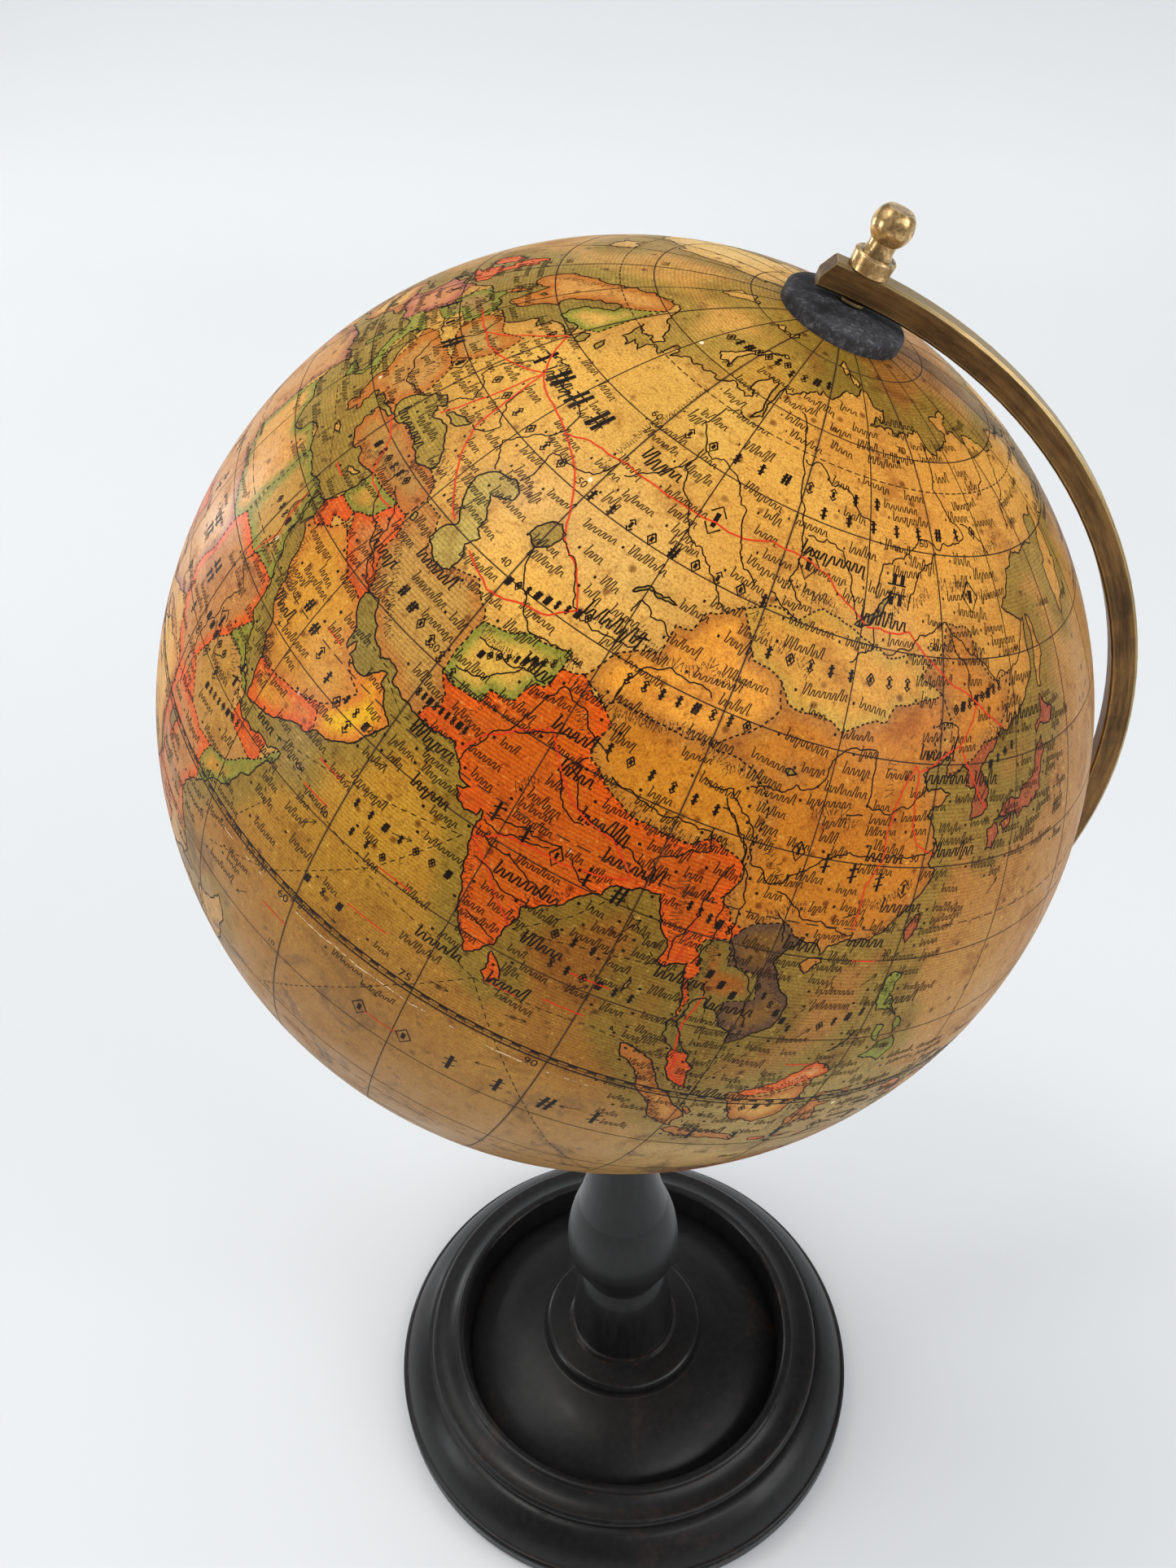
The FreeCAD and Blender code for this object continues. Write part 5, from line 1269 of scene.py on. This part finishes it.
def town_names(rng, taken):
    """Names of the chief towns, larger and blacker."""
    names = []
    for east, north, letters in (
            (64.6, 19.6, 6), (81.4, 12.2, 6), (72.4, 6.6, 7), (84.6, 23.2, 8), (100.6, 12.4, 7),
            (116.4, 40.4, 6), (117.6, 38.2, 8), (112.8, 21.6, 6), (61.4, 23.6, 7), (76.4, 28.6, 5),
            (73.6, 31.6, 6), (76.0, 17.2, 9), (80.6, 25.6, 7), (67.0, 34.6, 5), (111.6, 30.4, 6),
            (115.4, 25.4, 7), (49.0, 35.6, 7), (43.0, 33.0, 6), (38.6, 21.4, 5), (104.6, 0.4, 9),
            (105.6, 20.6, 5), (94.4, 14.4, 7), (35.6, 55.6, 6), (80.4, 6.2, 6), (29.0, 41.6, 8),
            (120.6, 31.0, 8), (126.0, 37.8, 5), (132.4, 43.6, 9), (92.0, 56.4, 9), (104.0, 52.0, 7),
            (46.0, 12.2, 4), (61.0, 56.6, 6), (69.4, 41.6, 8), (106.8, -6.8, 7), (121.0, 14.4, 6)):
        taken.append((east, north, 0.92 * letters))
        names.append(squiggle(rng, east, north, letters, 0.86, 0.40))
    return names


# Signs that are no letters, in a unit square: thick strokes, then thin ones.
MARKS = (
    # a stem with two slanting bars
    ([[(0.4, 0), (0.4, 1)]], [[(0.1, 0.25), (0.7, 0.4)], [(0.1, 0.65), (0.7, 0.8)]]),
    # a lozenge round a short stem
    ([[(0.4, 0.3), (0.4, 0.7)]], [[(0.4, 1), (0.8, 0.5), (0.4, 0), (0, 0.5), (0.4, 1)]]),
    # a stem between two chevrons
    ([[(0.4, 0.25), (0.4, 0.75)]], [[(0.1, 0.7), (0.4, 1), (0.7, 0.7)], [(0.1, 0.3), (0.4, 0), (0.7, 0.3)]]),
    # two leaning stems crossed by two bars
    ([[(0.15, 0), (0.35, 1)], [(0.5, 0), (0.7, 1)]], [[(0, 0.35), (0.8, 0.35)], [(0, 0.65), (0.8, 0.65)]]),
)


def spaced_name(rng, east, north, count, gap, height, rise=0.0):
    """Widely spaced signs that stand for a large name."""
    thick = []
    thin = []
    for number in range(count):
        strokes = MARKS[rng.randrange(len(MARKS))]
        foot = north + rise * number - height / 2
        wide = 0.85 * height / max(0.2, math.cos(math.radians(north)))
        for lines, group in zip((thick, thin), strokes):
            lines += [[(east + number * gap + wide * x, foot + height * y) for x, y in line]
                      for line in group]
    return thick, thin


def large_names(rng, taken):
    """Country and ocean names as spaced signs: thick strokes, thin strokes, heavy strokes."""
    heavy = []
    fine = []
    bold = []
    for east, north, count, gap, height, rise in (
            (33, 51.5, 6, 4.0, 1.2, -0.1), (60, 50.6, 9, 3.6, 1.3, 0.0), (64, 61.5, 9, 5.2, 1.3, 0.3),
            (94, 61, 8, 5.4, 1.3, 0.2), (92, 46.4, 8, 3.0, 1.2, 0.1),
            (103, 30.2, 5, 3.6, 1.9, -0.6), (80, 32.6, 6, 2.6, 1.1, -0.2), (78, 38.8, 8, 2.1, 1.1, 0.1),
            (73, 22.4, 5, 3.6, 2.0, -0.4), (51, 32.6, 6, 2.1, 1.2, -0.5), (43, 24.4, 6, 2.5, 1.4, -1.0),
            (63, 33.2, 9, 0.9, 0.8, 0.4), (32, 38.6, 6, 1.6, 1.0, 0.1), (54, 21.4, 3, 1.7, 1.0, -0.3),
            (61, 14.4, 7, 1.9, 1.0, 0.0), (62, 11.6, 3, 2.0, 1.0, 0.0), (84, 14.6, 3, 2.0, 1.1, 0.0),
            (85, 11.6, 6, 1.7, 1.1, -0.1), (98, 17.2, 4, 1.6, 1.0, -0.9), (94.6, 22.4, 5, 1.2, 1.0, -0.3),
            (105, 16, 6, 1.1, 0.9, -0.9), (114, 12, 4, 1.5, 1.1, 0.6), (122, 45.2, 8, 1.3, 1.0, 0.3),
            (129, 39.8, 4, 1.5, 0.9, 0.5), (31, 12.4, 5, 1.5, 1.1, 0.0), (37, 8, 8, 1.0, 0.9, 0.2),
            (28, 26.6, 5, 1.3, 1.0, 0.0), (60, 26.9, 9, 0.8, 0.8, 0.0), (60, 39.8, 9, 1.3, 0.9, 0.2),
            (60, 3.4, 3, 2.2, 1.1, 0.0), (46, 74, 7, 3.8, 1.2, 0.3), (72, 75, 4, 5, 1.2, 0.4),
            (110, -1.6, 6, 1.5, 1.1, 0.4), (20, 10, 6, 3.4, 1.6, 0.0), (-100, 40, 6, 5, 1.8, 0.0),
            (-110, 56, 6, 6, 1.8, 0.0), (-62, -10, 6, 4, 1.8, 0.0), (120, -25, 9, 3.4, 1.8, 0.0),
            (-44, 30, 8, 4, 1.8, -0.6), (-160, 10, 7, 5, 1.8, -0.4)):
        thick, thin = spaced_name(rng, east, north, count, gap, height, rise)
        taken += [(east + gap * number, north + rise * number - height / 2, height)
                  for number in range(count)]
        heavy += thick
        fine += thin
    for east, north, count, gap, height, rise in (
            (76, 55.4, 4, 16.5, 3.1, 0.2), (32, 56.6, 4, 6.0, 2.6, 0.0), (70, -7.2, 6, 5.4, 2.6, 0.0),
            (108, -7.2, 5, 5.4, 2.6, 0.0), (-5, 49, 6, 6, 2.4, 0.0), (5, 18, 6, 7, 3.0, -1.0),
            (-125, 48, 5, 10, 3.0, 0.0), (-68, -4, 5, 5, 2.8, -3.0)):
        thick, thin = spaced_name(rng, east, north, count, gap, height, rise)
        bold += thick
        fine += thin
    return heavy, fine, bold


def underlines():
    """Red rules under the names of small islands."""
    return [parallel(north, west, east, 0.8) for west, east, north in (
        (66.4, 70.4, 10.5), (65.4, 70.2, 4.5), (55.2, 58.8, 11.7), (55.4, 58.6, 15.0), (47.2, 50.0, 24.6),
        (87.4, 91.6, 11.4), (86.4, 90.6, 7.3), (114.6, 117.6, 20.0), (113.2, 116.2, 6.4), (80.6, 84.0, 6.2),
        (30.4, 33.0, 33.9), (56.4, 60.0, -4.6), (71.6, 75.4, -7.4))]


def arrows(rng):
    """Small arrows at sea, for the currents."""
    lines = []
    for east, north, heading in ((57, 8, 40), (60, 18.6, 60), (66, 14.4, 80), (63, 1.6, 95), (70, -3.6, 100),
                                 (76, 2.6, 85), (84, 3.4, 80), (88, 9.4, 50), (90, 17.6, 30),
                                 (86, -4.6, 250), (96, -6.4, 260), (112, 10, 40), (117, 17, 45),
                                 (128, 36.4, 30), (54, -6, 220),
                                 (48, 73.4, 60), (66, 74.4, 70), (132, 26, 40), (-30, 20, 240),
                                 (-150, 20, 260)):
        turn = math.radians(heading + rng.uniform(-8, 8))
        step = (math.sin(turn), math.cos(turn))
        tip = (east + 2.2 * step[0], north + 2.2 * step[1])
        lines.append([(east, north), (east + 1.2 * step[0] + 0.1 * step[1], north + 1.2 * step[1]), tip])
        for side in (-1, 1):
            back = turn + math.pi + side * 0.45
            lines.append([tip, (tip[0] + 0.6 * math.sin(back), tip[1] + 0.6 * math.cos(back))])
    return lines


def print_map():
    """Everything that is on the paper."""
    flat, triangles, region = flat_map()
    edges, sides = border_edges(triangles, region)
    shore = shore_distance(flat, edges)
    lay_gores(flat, triangles, region, shore, printed_paper())
    rng = random.Random(20)
    black = ink("ink_black", linear(26, 17, 12), linear(82, 56, 34))
    grey = ink("ink_fine", linear(52, 36, 24), linear(110, 78, 46))
    rust = ink("ink_red", linear(196, 50, 18), linear(196, 96, 40))
    coast = sides[:, 0] == -1
    ribbons("coast_lines", chained(edges[coast], flat), 0.30, black)
    frontier = chained(edges[~coast], flat)
    ribbons("frontier_lines", [dash for line in frontier for dash in dashes(line, 0.4, 0.3)], 0.30, black)
    ribbons("river_lines", [closer(river, 0.5, rough=0.16) for river in RIVERS], 0.24, black)
    ribbons("graticule_lines", graticule(), 0.22, grey)
    ribbons("dashed_circles", dashed_circles(), 0.22, grey)
    ribbons("equator_scale", equator_scale(), 0.12, black)
    ribbons("equator_rails", equator_rails(), 0.36, black)
    ribbons("equator_blocks", equator_blocks(), 0.21 * MM_PER_DEGREE, black, 0.8 * INK_LIFT)
    numerals(black)
    ribbons("hachures", hachures(rng), 0.12, grey)
    ribbons("railways", [closer(line, 0.9, rough=0.05) for line in RAILWAYS], 0.32, rust)
    ribbons("routes", [dash for line in ROUTES for dash in dashes(closer(line, 1.2), 0.6, 0.5)], 0.18, black)
    taken = []
    heavy, fine, bold = large_names(rng, taken)
    ribbons("town_names", town_names(rng, taken), 0.34, black)
    names, dots = small_names(rng, taken)
    ribbons("small_names", names, 0.19, black)
    ribbons("town_dots", [[(east - 0.16, north), (east + 0.16, north)] for east, north in dots], 0.5, black)
    ribbons("name_strokes", heavy, 0.52, black)
    ribbons("name_hairlines", fine, 0.30, black)
    ribbons("name_bold", bold, 0.80, black)
    ribbons("underlines", underlines(), 0.30, rust)
    ribbons("arrows", arrows(rng), 0.15, black)


# ---- the CAD's own parts ----
def dress_cad_parts():
    """Give every carried-over CAD part its material."""
    for look, names in (
            (ebonised_wood("ebonised_base", 0.5, 0.04), "base"),
            (ebonised_wood("ebonised_column", 0.25, 0.08), "column"),
            (cap_wood("cap_black"), "polar_cap_north polar_cap_south"), (arm_brass(), "meridian_arm"),
            (fitting_brass("fitting_brass"), "finial_collar finial_knob south_washer south_nut washer_north "
             "washer_south pole_bush_north pole_bush_south column_ferrule arm_screw"),
            (steel(), "axis_rod base_screw"), (baize(), "baize_pad"), (plaster(), "shell_north shell_south"),
            (lap_paper(), "equator_strip"), (pine(), "core_post")):
        for name in names.split():
            materials = frame["nodes"][name].data.materials
            materials.clear()
            materials.append(look)


# ---- floor, light and camera ----
def plain(name, color, roughness):
    """The backdrop's even paint with a trace of tone."""
    p = Paint(name, color, roughness, specular=0.2)
    cloud = p.noise(1.3, 2)
    return p.done(Base_Color=p.mix(p.step(cloud, 0.3, 0.7), color, tuple(0.97 * c for c in color[:3]) + (1,)))


def backdrop():
    """Pale floor that curves up into a wall."""
    rows = [(-1.6, 0.0), (1.0, 0.0)]
    rows += [(1.0 + 0.5 * math.sin(math.radians(a)), 0.5 - 0.5 * math.cos(math.radians(a)))
             for a in range(10, 91, 10)]
    rows.append((1.5, 0.9))
    places = [(x, y, z) for y, z in rows for x in (-3.5, 3.5)]
    faces = [(2 * k, 2 * k + 1, 2 * k + 3, 2 * k + 2) for k in range(len(rows) - 1)]
    mesh = bpy.data.meshes.new("floor")
    mesh.from_pydata(places, [], faces)
    mesh.shade_smooth()
    mesh.materials.append(plain("floor_paint", linear(196, 198, 199), 0.6))
    floor = bpy.data.objects.new("floor", mesh)
    bpy.context.scene.collection.objects.link(floor)


def soft_light(name, place, target, size, power, tone=(1, 1, 1), spread=180):
    """Rectangular lamp that faces a target; size in metres, power in watts, spread in degrees."""
    light = bpy.data.lights.new(name, "AREA")
    light.shape = "RECTANGLE"
    light.size = size[0]
    light.size_y = size[1]
    light.energy = power
    light.color = tone
    light.spread = math.radians(spread)
    lamp = bpy.data.objects.new(name, light)
    lamp.location = place
    lamp.rotation_euler = (Vector(target) - Vector(place)).to_track_quat("-Z", "Y").to_euler()
    bpy.context.scene.collection.objects.link(lamp)


def light_scene():
    """Soft lamps round the globe, in a white tent with a dimmer front that shows in no reflection."""
    target = (0, 0, 0.25)
    soft_light("key", (-0.7, 0.1, 1.7), target, (1.2, 1.2), 9.5, (1.0, 0.985, 0.955))
    soft_light("glint", (-0.5, -0.1, 1.7), target, (0.22, 0.22), 3.0, (1.0, 0.985, 0.955))
    soft_light("fill", (1.5, -0.5, 0.95), target, (0.8, 0.9), 11, (0.97, 0.985, 1.0))
    soft_light("low_left", (-1.2, -0.4, 0.6), target, (0.25, 0.7), 4.4, (0.96, 0.985, 1.0))
    soft_light("low_back", (-1.3, 0.9, 0.35), target, (0.3, 0.5), 3.5, (0.96, 0.985, 1.0))
    soft_light("far_floor", (0, 1.5, 1.6), (0, 1.3, 0), (2.4, 0.5), 4.5, spread=80)
    soft_light("near_floor", (0.7, -0.9, 1.2), (0.4, -0.4, 0), (0.8, 0.4), 1.3, spread=80)
    world = bpy.data.worlds.new("studio")
    world.cycles_visibility.glossy = False
    world.use_nodes = True
    tree = world.node_tree
    where = tree.nodes.new("ShaderNodeTexCoord").outputs["Generated"]
    facing = tree.nodes.new("ShaderNodeVectorMath")
    facing.operation = "DOT_PRODUCT"
    facing.inputs[1].default_value = (0.05, -0.82, 0.57)
    tree.links.new(where, facing.inputs[0])
    dimmed = tree.nodes.new("ShaderNodeMapRange")
    for key, value in (("From Min", 0.55), ("From Max", 0.98), ("To Min", 1.16), ("To Max", 0.42)):
        dimmed.inputs[key].default_value = value
    tree.links.new(facing.outputs["Value"], dimmed.inputs["Value"])
    background = tree.nodes["Background"]
    background.inputs["Color"].default_value = (0.955, 0.972, 1.0, 1)
    tree.links.new(dimmed.outputs["Result"], background.inputs["Strength"])
    bpy.context.scene.world = world


def place_camera():
    """Camera from a place in ball radii, a heading, a downward angle and a roll."""
    place = CENTRE + BALL_RADIUS * np.array(CAMERA_PLACE)
    heading = math.radians(CAMERA_HEADING)
    down = math.radians(CAMERA_DOWN)
    forward = Vector((math.sin(heading) * math.cos(down), math.cos(heading) * math.cos(down),
                      -math.sin(down)))
    level = forward.cross(Vector((0, 0, 1))).normalized()
    over = level.cross(forward)
    roll = math.radians(CAMERA_ROLL)
    right = math.cos(roll) * level + math.sin(roll) * over
    upward = math.cos(roll) * over - math.sin(roll) * level
    turn = Matrix((right, upward, -forward)).transposed()
    data = bpy.data.cameras.new("camera")
    data.lens = CAMERA_LENS
    camera = bpy.data.objects.new("camera", data)
    camera.matrix_world = Matrix.Translation(Vector(place)) @ turn.to_4x4()
    bpy.context.scene.collection.objects.link(camera)
    bpy.context.scene.camera = camera


print_map()
dress_cad_parts()
backdrop()
light_scene()
place_camera()
bpy.context.scene.view_settings.view_transform = "Standard"
